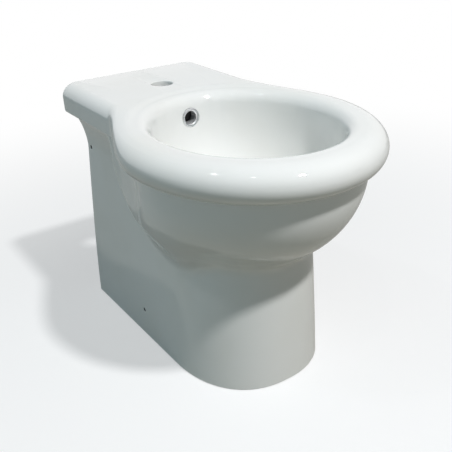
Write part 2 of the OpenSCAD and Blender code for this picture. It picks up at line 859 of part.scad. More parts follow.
// Ribbed union nut: its lip at the top, its thread below
module union_nut(inner_d, thread_h, through_d) {
  h = thread_h + lip_t;
  difference() {
    cylinder(d = inner_d + 2 * nut_wall, h = h);
    translate([0, 0, -cut]) cylinder(d = inner_d, h = thread_h + cut);
    translate([0, 0, thread_h - cut]) cylinder(d = through_d, h = lip_t + 2 * cut);
    for (k = [0 : nut_ribs - 1])
      rotate(360 * k / nut_ribs)
        translate([inner_d / 2 + nut_wall + scallop_out, 0, -cut])
          cylinder(r = scallop_r, h = thread_h + cut, $fn = 24);
  }
}

module cone_washer() {
  difference() {
    cylinder(r1 = joint_d / 2 - 1.5, r2 = joint_d / 2 - 0.5, h = cone_washer_t);
    translate([0, 0, -cut]) cylinder(d = pipe_d + 2 * thread_gap, h = cone_washer_t + 2 * cut);
  }
}

module at_head() {
  translate([0, rim_y, head_top]) children();
}

module at_outlet() {
  translate([0, rim_y + outlet_neck, outlet_h]) rotate([-90, 0, 0]) children();
}

module trap_inlet_tube() {
  color(chrome)
    translate([0, rim_y, 0])
      difference() {
        union() {
          translate([0, 0, dip_z]) cylinder(d = pipe_d, h = tube_top - dip_z);
          translate([0, 0, tube_top - tube_collar_t]) cylinder(d = waste_d - 1, h = tube_collar_t);
        }
        translate([0, 0, dip_z - cut]) cylinder(d = pipe_d - 2 * pipe_t, h = tube_top - dip_z + 2 * cut);
      }
}

module trap_inlet_nut() {
  color(chrome)
    translate([0, rim_y, tube_top - tube_collar_t - lip_t])
      mirror([0, 0, 1])
        translate([0, 0, -lip_t - grip - tube_collar_t - union_washer_t])
          union_nut(2 * thread_r, grip + tube_collar_t + union_washer_t, neck_bore);
}

module trap_inlet_washer() {
  color(rubber)
    translate([0, rim_y, tube_top]) ring(waste_d - 1, pipe_d - 2 * pipe_t + 1, union_washer_t);
}

module trap_body() {
  r = head_d / 2;
  color(chrome)
    translate([0, rim_y, 0])
      difference() {
        union() {
          translate([0, 0, skirt_z]) cylinder(r = r, h = head_shoulder - skirt_z - head_slope_h);
          translate([0, 0, head_shoulder - head_slope_h]) cylinder(r1 = r, r2 = r - head_slope_w, h = head_slope_h);
          translate([0, 0, head_shoulder - cut]) cylinder(d = joint_d, h = head_top - head_shoulder + cut);
          translate([0, 0, outlet_h]) rotate([-90, 0, 0]) cylinder(d = joint_d, h = outlet_neck);
        }
        translate([0, 0, skirt_z - cut])
          cylinder(r = r - head_t, h = head_shoulder - skirt_z - head_slope_h - head_t + 1 + cut);
        translate([0, 0, skirt_z]) cylinder(d = neck_bore, h = head_top - skirt_z + cut);
        translate([0, 0, outlet_h]) rotate([-90, 0, 0]) cylinder(r = pipe_r - pipe_t, h = outlet_neck + cut);
        translate([0, outlet_neck - grip, outlet_h]) rotate([-90, 0, 0]) cylinder(d = neck_bore, h = grip + cut);
      }
}

module trap_tube_nut() {
  color(chrome)
    at_head() translate([0, 0, -grip]) union_nut(joint_d + 2 * thread_gap, grip + cone_washer_t, neck_bore);
}

module trap_tube_washer() {
  color(rubber) at_head() cone_washer();
}

module trap_cup() {
  r = head_d / 2;
  round_r = 10;
  thread = r + thread_gap;
  cup_shelf = 3;
  color(chrome)
    translate([0, rim_y, 0])
      difference() {
        rotate_extrude() {
          square_from(0, cup_h, r - round_r, round_r);
          square_from(0, cup_h + round_r, r, skirt_z - cup_h - round_r);
          translate([r - round_r, cup_h + round_r]) circle(round_r);
          square_from(0, skirt_z - cup_shelf, thread + head_t, collar_top - skirt_z + cup_shelf);
        }
        translate([0, 0, cup_floor]) cylinder(r = r - head_t - 1, h = collar_top);
        translate([0, 0, skirt_z - union_washer_t]) cylinder(r = thread, h = collar_top);
        for (k = [0 : nut_ribs - 1])
          rotate(360 * k / nut_ribs)
            translate([thread + head_t + scallop_out, 0, skirt_z - cup_shelf - cut])
              cylinder(r = scallop_r, h = collar_top - skirt_z + cut, $fn = 24);
      }
}

module square_from(x, y, w, h) {
  translate([x, y]) square([w, h]);
}

module trap_cup_seal() {
  color(rubber)
    translate([0, rim_y, skirt_z - union_washer_t])
      ring(head_d, head_d - 2 * head_t, union_washer_t);
}

outlet_end = wall_y - outlet_to_wall;
outlet_start = rim_y + outlet_neck - grip + seat_gap;
mark_w = 1.5;
mark_deep = 0.5;
module trap_outlet_pipe() {
  l = outlet_end - outlet_start;
  color(chrome)
    translate([0, outlet_start, outlet_h])
      rotate([-90, 0, 0])
        difference() {
          ring(pipe_d, pipe_d - 2 * pipe_t, l);
          // Groove that shows how far the pipe goes into the drain
          translate([0, 0, l - insert_l - mark_w]) ring(pipe_d + cut, pipe_d - 2 * mark_deep, mark_w);
        }
}

module trap_outlet_nut() {
  color(chrome)
    at_outlet() translate([0, 0, -grip]) union_nut(joint_d + 2 * thread_gap, grip + cone_washer_t, neck_bore);
}

module trap_outlet_washer() {
  color(rubber) at_outlet() cone_washer();
}

// ---------- fixings ----------

low_y = wall_y - low_hole_to_wall;
high_y = wall_y - high_hole_to_wall;
foot_face = side_w(bracket_h) - wall - seat_gap;
angle_face = back_half - seat_gap;
screw_edge = 13;
floor_screw_x = foot_face - bracket_foot + screw_edge;
wall_screw_x = angle_face - angle_wall_leg + screw_edge;
lock_sink = 3.5;
tap_gap = 0.1;

module both_sides() {
  for (side = [0, 1]) mirror([side, 0, 0]) children();
}

module floor_brackets() {
  rib = 5;
  rib_in = 3;
  color(grey_plastic)
    both_sides()
      difference() {
        union() {
          translate([foot_face - bracket_foot, low_y - bracket_l / 2, 0])
            cube([bracket_foot, bracket_l, bracket_t]);
          translate([foot_face - bracket_t, low_y - bracket_l / 2, 0]) cube([bracket_t, bracket_l, bracket_h]);
          for (end = [-1, 1])
            translate([foot_face, low_y + end * (bracket_l - rib) / 2 + rib / 2, 0])
              rotate([90, 0, 0])
                linear_extrude(rib)
                  polygon([
                    [-bracket_t / 2, bracket_t / 2],
                    [-bracket_t / 2, bracket_h - rib_in],
                    [-bracket_t - rib_in, bracket_h - rib_in],
                    [-bracket_foot + rib_in, bracket_t],
                    [-bracket_foot + rib_in, bracket_t / 2]
                  ]);
        }
        translate([floor_screw_x, low_y, -cut]) cylinder(d = floor_screw_d, h = bracket_t + 2 * cut);
        translate([foot_face - bracket_foot, low_y, low_hole_h])
          rotate([0, 90, 0]) cylinder(d = lock_d + 2 * tap_gap, h = bracket_foot + cut);
      }
}

// Headless screw along +X with a hexagon socket in its outer end
module lock_screw(l) {
  socket_deep = 3;
  tip = 1;
  rotate([0, 90, 0])
    difference() {
      union() {
        cylinder(d1 = lock_d - 2 * tip, d2 = lock_d, h = tip);
        translate([0, 0, tip]) cylinder(d = lock_d, h = l - tip);
      }
      translate([0, 0, l - socket_deep]) cylinder(d = lock_hex / cos(30), h = socket_deep + cut, $fn = 6);
    }
}

module floor_lock_screws() {
  color(steel)
    both_sides()
      translate([side_w(low_hole_h) - lock_sink - low_lock_l, low_y, low_hole_h]) lock_screw(low_lock_l);
}

module wall_brackets() {
  nut_h = 5;
  nut_af = 10;
  color(steel)
    both_sides()
      difference() {
        union() {
          translate([angle_face - angle_wall_leg, wall_y - angle_t, high_hole_h - angle_h / 2])
            cube([angle_wall_leg, angle_t, angle_h]);
          translate([angle_face - angle_t, wall_y - angle_side_leg, high_hole_h - angle_h / 2])
            cube([angle_t, angle_side_leg, angle_h]);
          translate([angle_face - angle_t - nut_h, high_y, high_hole_h])
            rotate([0, 90, 0]) cylinder(d = nut_af / cos(30), h = nut_h + angle_t / 2, $fn = 6);
        }
        translate([angle_face - angle_t - nut_h - cut, high_y, high_hole_h])
          rotate([0, 90, 0]) cylinder(d = lock_d + 2 * tap_gap, h = nut_h + angle_t + 2 * cut);
        translate([wall_screw_x, wall_y + cut, high_hole_h])
          rotate([90, 0, 0]) cylinder(d = wall_screw_d, h = angle_t + 2 * cut);
      }
}

module wall_lock_screws() {
  color(steel)
    both_sides()
      translate([side_w(high_hole_h) - lock_sink - high_lock_l, high_y, high_hole_h]) lock_screw(high_lock_l);
}

ceramic_body();
overflow_bezel();
overflow_seal();
waste_body();
waste_top_seal();
waste_bottom_seal();
waste_washer();
waste_backnut();
plug_cap();
plug_seal();
plug_stem();
plug_spring();
plug_guide();
trap_inlet_tube();
trap_inlet_nut();
trap_inlet_washer();
trap_body();
trap_tube_nut();
trap_tube_washer();
trap_cup();
trap_cup_seal();
trap_outlet_pipe();
trap_outlet_nut();
trap_outlet_washer();
floor_brackets();
floor_lock_screws();
wall_brackets();
wall_lock_screws();
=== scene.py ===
import json
import math
import bmesh
import bpy
from mathutils import Matrix, Vector

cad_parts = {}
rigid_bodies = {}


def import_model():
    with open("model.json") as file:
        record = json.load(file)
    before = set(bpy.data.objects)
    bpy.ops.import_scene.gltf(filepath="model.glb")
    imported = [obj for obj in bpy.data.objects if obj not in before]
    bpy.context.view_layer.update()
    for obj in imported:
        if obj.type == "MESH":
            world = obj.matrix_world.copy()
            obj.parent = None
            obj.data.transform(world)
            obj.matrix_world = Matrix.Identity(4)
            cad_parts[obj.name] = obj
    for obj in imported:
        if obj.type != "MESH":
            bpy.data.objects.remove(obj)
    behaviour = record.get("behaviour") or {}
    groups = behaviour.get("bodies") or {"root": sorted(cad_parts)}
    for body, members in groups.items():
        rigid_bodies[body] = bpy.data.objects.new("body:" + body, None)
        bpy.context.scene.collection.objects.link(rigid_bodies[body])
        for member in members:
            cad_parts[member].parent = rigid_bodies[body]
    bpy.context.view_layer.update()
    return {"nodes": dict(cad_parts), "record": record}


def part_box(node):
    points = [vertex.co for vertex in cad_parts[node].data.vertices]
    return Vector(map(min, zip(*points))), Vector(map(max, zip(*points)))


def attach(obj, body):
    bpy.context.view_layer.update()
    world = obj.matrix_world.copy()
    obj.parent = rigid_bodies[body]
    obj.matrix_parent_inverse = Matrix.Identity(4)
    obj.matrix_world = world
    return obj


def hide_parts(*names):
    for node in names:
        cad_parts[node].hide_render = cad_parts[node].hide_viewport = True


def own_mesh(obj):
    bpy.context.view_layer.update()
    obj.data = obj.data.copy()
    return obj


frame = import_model()
nodes, record = frame["nodes"], frame["record"]
print("frame loaded:", len(nodes), "nodes")

mm = 0.001
touch = 1e-6                              # m, how near vertices are merged
bidet, plug = "bidet", "plug"             # the two bodies
joint = record["behaviour"]["joints"][0]  # the plug's slide


# The camera stands where the photo's outlines put it
shot = dict(
    place=(-0.5079, -0.8029, 0.6775),
    yaw=35.9, pitch=27.6, roll=-1.6,     # degrees: turned from +Y to +X, down, and leaning
    focal=662.3, centre=(262, 238), side=452,    # pixels
)


def setCamera():
    yaw, pitch, roll = (math.radians(shot[k]) for k in ("yaw", "pitch", "roll"))
    level = Vector((math.sin(yaw), math.cos(yaw), 0))
    right = Vector((math.cos(yaw), -math.sin(yaw), 0))
    ahead = level * math.cos(pitch) - Vector((0, 0, math.sin(pitch)))
    up = level * math.sin(pitch) + Vector((0, 0, math.cos(pitch)))
    leanRight = right * math.cos(roll) + up * math.sin(roll)
    leanUp = up * math.cos(roll) - right * math.sin(roll)
    data = bpy.data.cameras.new("camera")
    data.sensor_width = 36
    data.lens = shot["focal"] / shot["side"] * data.sensor_width
    data.shift_x = (shot["side"] / 2 - shot["centre"][0]) / shot["side"]
    data.shift_y = (shot["centre"][1] - shot["side"] / 2) / shot["side"]
    data.clip_start, data.clip_end = 0.05, 40
    camera = bpy.data.objects.new("camera", data)
    turn = Matrix((leanRight, leanUp, -ahead)).transposed().to_4x4()
    camera.matrix_world = Matrix.Translation(shot["place"]) @ turn
    bpy.context.collection.objects.link(camera)
    bpy.context.scene.camera = camera


setCamera()
print("camera set")


# A socket that can stand in a Python sum
class Wire:
    def __init__(self, finish, socket):
        self.finish, self.socket = finish, socket

    def calc(self, operation, *values):
        return self.finish.add("ShaderNodeMath", dict(operation=operation), *values)

    def __add__(self, other):
        return self.calc("ADD", self, other)

    def __sub__(self, other):
        return self.calc("SUBTRACT", self, other)

    def __mul__(self, other):
        return self.calc("MULTIPLY", self, other)

    def __rsub__(self, other):
        return self.calc("SUBTRACT", other, self)

    __radd__, __rmul__ = __add__, __mul__

    def __lt__(self, other):
        return self.calc("LESS_THAN", self, other)

    def __abs__(self):
        return self.calc("ABSOLUTE", self)

    def rise(self, low, high):            # 0 below low, 1 above high, smooth between
        return self.finish.add("ShaderNodeMapRange", dict(interpolation_type="SMOOTHSTEP"), self, low, high)


# The nodes of a material or of the world, with coordinates in the given space
class Nodes:
    def __init__(self, owner, space):
        owner.use_nodes = True
        self.tree = owner.node_tree
        self.at = self.add("ShaderNodeTexCoord", out=space)

    def put(self, node, values):
        for key, value in values.items():
            socket = node.inputs[key.replace("_", " ") if isinstance(key, str) else key]
            if isinstance(value, Wire):
                self.tree.links.new(value.socket, socket)
            elif isinstance(value, tuple) and len(value) == 3 and socket.type == "RGBA":
                socket.default_value = value + (1,)
            else:
                socket.default_value = value

    # kind of node, its settings, then its sockets in order or by name
    def add(self, kind, settings=None, *values, out=0, **named):
        node = self.tree.nodes.new(kind)
        for key, value in (settings or {}).items():
            setattr(node, key, value)
        self.put(node, dict(enumerate(values)))
        self.put(node, named)
        return Wire(self, node.outputs[out])

    def noise(self, scale, detail=2.0, rough=0.5, at=None):
        return self.add("ShaderNodeTexNoise", None, Vector=at or self.at,
                        Scale=scale, Detail=detail, Roughness=rough)

    def cells(self, scale, at=None, out="Distance"):
        return self.add("ShaderNodeTexVoronoi", None, Vector=at or self.at, Scale=scale, out=out)

    def parts(self):                      # the coordinates as x, y and z
        node = self.tree.nodes.new("ShaderNodeSeparateXYZ")
        self.put(node, {0: self.at})
        return [Wire(self, socket) for socket in node.outputs]

    def rays(self, *kinds):               # 1 for these kinds of ray, else 0
        node = self.tree.nodes.new("ShaderNodeLightPath")
        first, *rest = [Wire(self, node.outputs[f"Is {kind} Ray"]) for kind in kinds]
        for other in rest:
            first = first.calc("MAXIMUM", first, other)
        return first

    def stretched(self, x, y, z):
        return self.add("ShaderNodeMapping", None, self.at, Scale=Vector((x, y, z)))

    def blend(self, share, first, second):
        node = self.tree.nodes.new("ShaderNodeMix")
        node.data_type = "RGBA"
        self.put(node, {0: share, 6: first, 7: second})
        return Wire(self, node.outputs[2])

    def bump(self, height, distance, strength=1.0, over=None):
        values = dict(Height=height, Distance=distance, Strength=strength)
        if over:
            values["Normal"] = over
        return self.add("ShaderNodeBump", None, **values)


# A material of one finish
class Finish(Nodes):
    def __init__(self, name, colour, roughness, **fixed):
        self.material = bpy.data.materials.new(name)
        super().__init__(self.material, "Object")
        self.shader = self.tree.nodes["Principled BSDF"]
        self.put(self.shader, dict(fixed, Base_Color=colour, Roughness=roughness))
        self.material.diffuse_color = tuple(colour) + (1,)

    def wear(self, **values):             # what changes over the surface
        self.put(self.shader, values)
        return self.material


# White vitreous china: a deep clear glaze that pools and wavers a little, with a rare pinhole
def glazedChina():
    look = dict(white=(0.86, 0.865, 0.85), warm=(0.83, 0.83, 0.80), speck=(0.50, 0.48, 0.43), shine=0.035)
    f = Finish("glazedChina", look["white"], look["shine"], Coat_Weight=0.2, Coat_Roughness=0.02)
    drift = f.noise(7, 3)
    pores = f.cells(55)
    chance = f.cells(55, out="Color")
    pore = (0.035 - pores).rise(0, 0.02) * f.add("ShaderNodeSeparateColor", None, chance).rise(0.93, 0.95)
    colour = f.blend(drift.rise(0.35, 0.75), look["white"], look["warm"])
    colour = f.blend(pore * 0.5, colour, look["speck"])
    wave = f.bump(f.noise(22, 1), 0.0011, 0.16)
    skin = f.bump(f.noise(240, 2), 0.00012, 0.10, over=wave)
    return f.wear(
        Base_Color=colour,
        Roughness=look["shine"] + f.noise(30, 4).rise(0.45, 0.9) * 0.03 + pore * 0.3,
        Normal=skin,
    )


# The inside of the casting: bare fired clay with a thin wash of glaze. In near-black colours it also serves
# as painted shade on the holes' walls
def bareChina(name, fired, washed, dust):
    f = Finish(name, fired, 0.6)
    wash = f.noise(16, 4).rise(0.4, 0.62)
    grain = f.noise(900, 3)
    colour = f.blend(wash, fired, washed)
    colour = f.blend(f.noise(45, 5).rise(0.55, 0.8) * 0.35, colour, dust)
    return f.wear(
        Base_Color=colour,
        Roughness=0.68 - wash * 0.35 + grain * 0.08,
        Normal=f.bump(grain, 0.0004, 0.35, over=f.bump(f.noise(60, 4), 0.002, 0.3)),
    )


# Bright chrome plate: near mirror, with faint water spots and a breath of haze
def brightChrome():
    look = dict(metal=(0.80, 0.81, 0.83), spot=(0.70, 0.71, 0.72), shine=0.06)
    f = Finish("brightChrome", look["metal"], look["shine"], Metallic=1.0)
    drop = f.cells(130)
    ring = (abs(drop - 0.22) < 0.025) * f.noise(40, 2).rise(0.52, 0.62)
    haze = f.noise(60, 5).rise(0.45, 0.85)
    return f.wear(
        Base_Color=f.blend(ring * 0.5, look["metal"], look["spot"]),
        Roughness=look["shine"] + haze * 0.07 + ring * 0.18,
        Normal=f.bump(f.noise(420, 2), 0.00005, 0.2),
    )


# The inside of the plated sleeve: dull, as the bath hardly reaches it
def innerPlate():
    look = dict(metal=(0.50, 0.51, 0.52), bare=(0.36, 0.36, 0.355), shine=0.38)
    f = Finish("innerPlate", look["metal"], look["shine"], Metallic=0.35)
    patch = f.noise(260, 4).rise(0.42, 0.7)
    return f.wear(
        Base_Color=f.blend(patch, look["metal"], look["bare"]),
        Roughness=look["shine"] + patch * 0.2,
        Normal=f.bump(f.noise(900, 3), 0.0001, 0.3),
    )


# Turned brass: fine tool marks round the axis, duller in patches
def turnedBrass():
    look = dict(metal=(0.72, 0.55, 0.26), dull=(0.52, 0.38, 0.19), shine=0.24)
    f = Finish("turnedBrass", look["metal"], look["shine"], Metallic=1.0)
    stain = f.noise(70, 5).rise(0.45, 0.75)
    marks = f.noise(900, 2, at=f.stretched(0.12, 0.12, 2.4))
    return f.wear(
        Base_Color=f.blend(stain * 0.7, look["metal"], look["dull"]),
        Roughness=look["shine"] + stain * 0.22 + marks * 0.08,
        Normal=f.bump(marks, 0.00015, 0.35),
    )


# Zinc-plated steel, finely brushed, with a cool and a warm cast in the passivation
def platedSteel():
    look = dict(zinc=(0.48, 0.49, 0.50), cast=(0.52, 0.49, 0.41), shine=0.4)
    f = Finish("platedSteel", look["zinc"], look["shine"], Metallic=1.0)
    cloud = f.noise(55, 4).rise(0.4, 0.7)
    grain = f.noise(1400, 2, at=f.stretched(1, 0.15, 1))
    return f.wear(
        Base_Color=f.blend(cloud * 0.45, look["zinc"], look["cast"]),
        Roughness=look["shine"] + grain * 0.15 + cloud * 0.06,
        Normal=f.bump(grain, 0.0001, 0.3),
    )


# Black rubber with a little bloom
def blackRubber():
    look = dict(black=(0.035, 0.035, 0.036), bloom=(0.11, 0.11, 0.105))
    f = Finish("blackRubber", look["black"], 0.6)
    bloom = f.noise(90, 5).rise(0.5, 0.8)
    grain = f.noise(1500, 2)
    return f.wear(
        Base_Color=f.blend(bloom * 0.6, look["black"], look["bloom"]),
        Roughness=0.52 + bloom * 0.2 + grain * 0.1,
        Normal=f.bump(grain, 0.0001, 0.4),
    )


# Moulded plastics: a fine spark-eroded grain and slight flow marks
def mouldedPlastic(name, colour, shade, roughness):
    f = Finish(name, colour, roughness)
    flow = f.noise(35, 3, at=f.stretched(1, 1, 0.35)).rise(0.4, 0.7)
    grain = f.cells(1600)
    return f.wear(
        Base_Color=f.blend(flow * 0.5, colour, shade),
        Roughness=roughness + grain * 0.12 + flow * 0.05,
        Normal=f.bump(grain, 0.00012, 0.3),
    )


china, chrome = glazedChina(), brightChrome()
clay = bareChina("bareChina", (0.74, 0.72, 0.67), (0.82, 0.81, 0.77), (0.58, 0.56, 0.52))
thinPlate = innerPlate()
# Near-black clay for the holes' walls: painted shade that darkens the insides of the side holes and the
# overflow's channel
holeShade = bareChina("dampClay", (0.13, 0.125, 0.12), (0.20, 0.19, 0.18), (0.05, 0.048, 0.045))
brass, steel, rubber = turnedBrass(), platedSteel(), blackRubber()
whitePlastic = mouldedPlastic("whitePlastic", (0.80, 0.80, 0.78), (0.74, 0.74, 0.70), 0.38)
greyPlastic = mouldedPlastic("greyPlastic", (0.25, 0.255, 0.26), (0.20, 0.205, 0.21), 0.48)
slots = dict(china=china, chrome=chrome, brass=brass, steel=steel, rubber=rubber,
             white_plastic=whitePlastic, grey_plastic=greyPlastic)
print("materials made for", len(slots), "slots")


def meshOf(bm, name="cutter"):
    mesh = bpy.data.meshes.new(name)
    bm.to_mesh(mesh)
    bm.free()
    return mesh


def bmeshOf(mesh):
    bm = bmesh.new()
    bm.from_mesh(mesh)
    return bm


# Makes a piece that rides on its body and stands for its CAD nodes
def finishPiece(bm, name, body, replaced, slot, sharp=35, materials=None):
    mesh = meshOf(bm, name)
    for material in materials or [slots[slot]]:
        mesh.materials.append(material)
    mesh.shade_smooth()
    mesh.set_sharp_from_angle(angle=math.radians(sharp))
    piece = bpy.data.objects.new(name, mesh)
    bpy.context.collection.objects.link(piece)
    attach(piece, body)
    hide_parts(*replaced)
    return piece


# Takes a shape that stands upright at the origin to a place in mm, and aims it along a direction
def placing(start, along):
    aim = Vector((0, 0, 1)).rotation_difference(Vector(along)).to_matrix().to_4x4()
    return Matrix.Translation(Vector(start) * mm) @ aim


# A turned solid: its outline as (radius, height) in mm, spun about the axis from start towards along
def turned(bm, outline, start, along=(0, 0, 1), steps=96):
    verts = [bm.verts.new((r * mm, 0, z * mm)) for r, z in outline]
    pairs = zip(verts, verts[1:] + verts[:1])
    edges = [bm.edges.new(pair) for pair in pairs if max(v.co.x for v in pair) > 1e-7]    # none on the axis
    before = set(bm.verts) - set(verts)
    bmesh.ops.spin(bm, geom=verts + edges, cent=(0, 0, 0), axis=(0, 0, 1), dvec=(0, 0, 0),
                   angle=math.tau, steps=steps, use_merge=True, use_duplicate=False)
    made = [v for v in bm.verts if v not in before]
    bmesh.ops.remove_doubles(bm, verts=made, dist=touch)
    made = [v for v in bm.verts if v not in before]
    faces = list({f for v in made for f in v.link_faces})
    bmesh.ops.recalc_face_normals(bm, faces=faces)
    bmesh.ops.transform(bm, matrix=placing(start, along), verts=made)
    return made


# Rounds the corners of an outline of (radius, height, corner radius)
def rounded(outline, steps=4):
    points = []
    for k, (r, z, corner) in enumerate(outline):
        if not corner:
            points.append((r, z))
            continue
        here = Vector((r, z))
        back = (Vector(outline[k - 1][:2]) - here).normalized()
        on = (Vector(outline[(k + 1) % len(outline)][:2]) - here).normalized()
        half = back.angle(on) / 2
        reach = corner / math.tan(half)
        middle = here + (back + on).normalized() * corner / math.sin(half)
        first, last = here + back * reach - middle, here + on * reach - middle
        swing = first.angle_signed(last)
        for step in range(steps + 1):
            a = -swing * step / steps
            points.append((middle.x + first.x * math.cos(a) - first.y * math.sin(a),
                           middle.y + first.x * math.sin(a) + first.y * math.cos(a)))
    return points


# The casting's sizes in mm. They are those of the solids, but for a rounder deck edge that lies 2 mm further
# out (deckW, deckR), and a roll that draws in behind the rim's middle (pinch, pinchReach)
form = dict(
    rimW=370, rimL=420, rimH=400, rimBand=52, rimRound=30, rimCrest=40, lipR=18, rimToWall=350,
    pinch=6, pinchReach=90, notch=(10, 108), notchBlend=20, crowd=0.62,    # crowd: of the side's points
    deckW=264, deckH=403, deckT=14, deckEdge=46, deckR=22, deckCorner=12, edgeR=4, deckBlend=56,
    basinDepth=149, basinFull=2.3, basinFloor=20, seatR=33, seatPad=0.6,
    bowlW=322, bowlL=371, bowlDepth=156, bowlBack=230, backSquare=3, bowlBlend=30, noseReach=100,
    sideDepth=176, sideFull=2.5, fullFrom=(-130, -40),
    coveUnder=6, coveFull=1.8, tuck=1.5,    # tuck: how far the body stays inside the slab's lower edge
    baseW=237, baseD=442, straight=294, square=2.3, waistW=200, waistH=290, taper=1.3, footBevel=1.5,
    wall=11, hollowCorner=6, backCorner=9, backOpenH=322, backOpenR=14, backLip=0.6,
    ribT=20, ribHalf=16, ribFade=1.6,     # the overflow's channel down the basin's back
    tapD=35, tapToWall=113, wasteD=46, overflowD=24, overflowH=365,
    sideHoleD=7, lowHole=(86, 49), highHole=(261.5, 290),    # how far back and how high
)
# Where the rim's roll changes hands, in degrees above the level: the crest's rings, then the slab's
roll = dict(crestEnd=75, slabStart=60, slabEnd=-75)
# How many steps each stretch of the casting has
finer = dict(back=6, corner=8, side=44, nose=40, basin=26, lip=10, crest=6, slab=36, wall=40, under=16)

depth = form["rimToWall"] + form["rimL"] / 2
wallY = depth / 2
rimY = wallY - form["rimToWall"]
tapY = wallY - form["tapToWall"]
frontY = wallY - form["straight"]
frontL = form["baseD"] - form["straight"]
lipW = form["rimCrest"] + form["lipR"]
lipZ = form["rimH"] - form["lipR"]
basinA, basinB = form["rimW"] / 2 - lipW, form["rimL"] / 2 - lipW
seatZ = lipZ - form["basinDepth"]
underZ = seatZ - form["basinFloor"]
bowlTop = form["rimH"] - form["rimBand"]
coveTop = form["deckH"] - form["deckEdge"]
coveIn = form["deckW"] / 2 - form["coveUnder"]
underA, underB = basinA + form["wall"], basinB + form["wall"]
underIn = form["rimRound"] * (1 - math.cos(math.radians(roll["slabEnd"])))
overflowSeat = (0, rimY + basinB + form["seatPad"], form["overflowH"])    # on a flat ground in the basin
halfCount = finer["back"] + finer["corner"] + finer["side"] + finer["nose"]
flatCount = finer["back"] + finer["corner"]


def mix(a, b, t):
    return a + (b - a) * t


def held(t):
    return min(max(t, 0), 1)


def ease(t):
    t = held(t)
    return t * t * (3 - 2 * t)


# The larger of two, blended where they come within k of each other
def softMax(a, b, k):
    h = max(k - abs(a - b), 0) / k
    return max(a, b) + h * h * k / 4


def ovalX(a, b, y):
    u = (y - rimY) / max(b, 1)
    return a * math.sqrt(1 - u * u) if abs(u) < 1 else 0


def ovalR(a, b, turn):                    # turn from the wall's side
    return 1 / math.hypot(math.sin(turn) / a, math.cos(turn) / b) if a > 0 else 0


def fromRim(r, turn):                     # a point by its distance and turn from the rim's middle
    return r * math.sin(turn), rimY + r * math.cos(turn)


# Half the pedestal's width: it narrows up to the waist, then swings out to the deck's edge in a cove
def sideW(z):
    if z < form["waistH"]:
        return mix(form["baseW"] / 2, form["waistW"] / 2, (max(z, 0) / form["waistH"]) ** form["taper"])
    t = held((z - form["waistH"]) / (coveTop - form["waistH"]))
    return mix(form["waistW"] / 2, coveIn, 1 - (1 - t ** form["coveFull"]) ** (1 / form["coveFull"]))


def pedestalX(y, z):
    u = held((frontY - y) / frontL)
    return sideW(z) * (1 - u ** form["square"]) ** (1 / form["square"])


# The pedestal's outline at a turn from the rim's middle, found by halving
def pedestalR(turn, z):
    low, high = 0, depth
    for step in range(20):
        middle = (low + high) / 2
        y = rimY + middle * math.cos(turn)
        if y > frontY - frontL and middle * math.sin(turn) < pedestalX(y, z):
            low = middle
        else:
            high = middle
    return middle


# The bowl's section at height z: round at the nose, fuller at the sides and the back
def bowlPart(z, y):
    share = ease((y - form["fullFrom"][0]) / (form["fullFrom"][1] - form["fullFrom"][0]))
    full = mix(2, form["sideFull"], share)
    u = held((bowlTop - z) / mix(form["bowlDepth"], form["sideDepth"], share))
    return (1 - u ** full) ** (1 / full)


def bowlX(z, y):
    part = bowlPart(z, y)
    v = held((y - rimY) / max(form["bowlBack"] * part, 1))
    return form["bowlW"] / 2 * part * (1 - v ** form["backSquare"]) ** (1 / form["backSquare"])


# Points along the side, closer together where the deck runs into the rim
def sideY(j):
    t = j / finer["side"]
    return mix(wallY - form["deckCorner"], rimY, t + form["crowd"] * math.sin(math.tau * t) / math.tau)


def deckPart(y):                          # 0 at the rim, 1 at the deck
    return ease((y - form["notch"][0]) / (form["notch"][1] - form["notch"][0]))


def backPoint(w, yBack, corner, i):
    if i <= finer["back"]:
        return (w - corner) * i / finer["back"], yBack
    turn = math.pi / 2 * (i - finer["back"]) / finer["corner"]
    return w - corner + corner * math.sin(turn), yBack - corner + corner * math.cos(turn)


def noseTurn(i):
    return math.pi / 2 * (1 + (i - halfCount + finer["nose"]) / finer["nose"])


# The rim's roll draws in a little more behind its middle, on its way to the notch
def slabX(inRim, inDeck, y, blend, pinch):
    drawn = pinch * ease((y - rimY) / form["pinchReach"]) * (1 - deckPart(y))
    inset = mix(inRim, inDeck, deckPart(y)) + drawn
    x = ovalX(form["rimW"] / 2 - inset, form["rimL"] / 2 - inset, y)
    return softMax(x, form["deckW"] / 2 - inDeck, blend)


def slabPoint(inRim, inDeck, inBack, i, blend, pinch):
    if i <= flatCount:
        return backPoint(form["deckW"] / 2 - inDeck, wallY - inBack, form["deckCorner"], i)
    if i <= flatCount + finer["side"]:
        y = sideY(i - flatCount)
        return slabX(inRim, inDeck, y, blend, pinch), y
    turn = noseTurn(i)
    return fromRim(ovalR(form["rimW"] / 2 - inRim, form["rimL"] / 2 - inRim, turn), turn)


# Bowl and pedestal, blended, and held inside the slab's lower edge
def bodyPoint(z, i):
    if i <= flatCount:
        return backPoint(sideW(z), wallY, form["backCorner"], i)
    if i <= flatCount + finer["side"]:
        y = sideY(i - flatCount)
        x = softMax(bowlX(z, y), pedestalX(y, z), form["bowlBlend"])
        most = slabX(underIn, form["edgeR"], y, form["notchBlend"], form["pinch"]) - form["tuck"]
        return -softMax(-x, -most, 2 * form["tuck"]), y
    turn = noseTurn(i)
    part = bowlPart(z, rimY + form["noseReach"] * math.cos(turn))
    bowl = ovalR(form["bowlW"] / 2 * part, form["bowlL"] / 2 * part, turn)
    return fromRim(softMax(bowl, pedestalR(turn, z), form["bowlBlend"]), turn)


# Every ring has the same points, at the turns of the slab's outline
count = range(halfCount + 1)
slabEdge = [slabPoint(0, 0, 0, i, form["deckBlend"], 0) for i in count]
turns = [math.atan2(x, y - rimY) for x, y in slabEdge]
deckShare = [1 if i <= flatCount else deckPart(slabEdge[i][1]) for i in count]


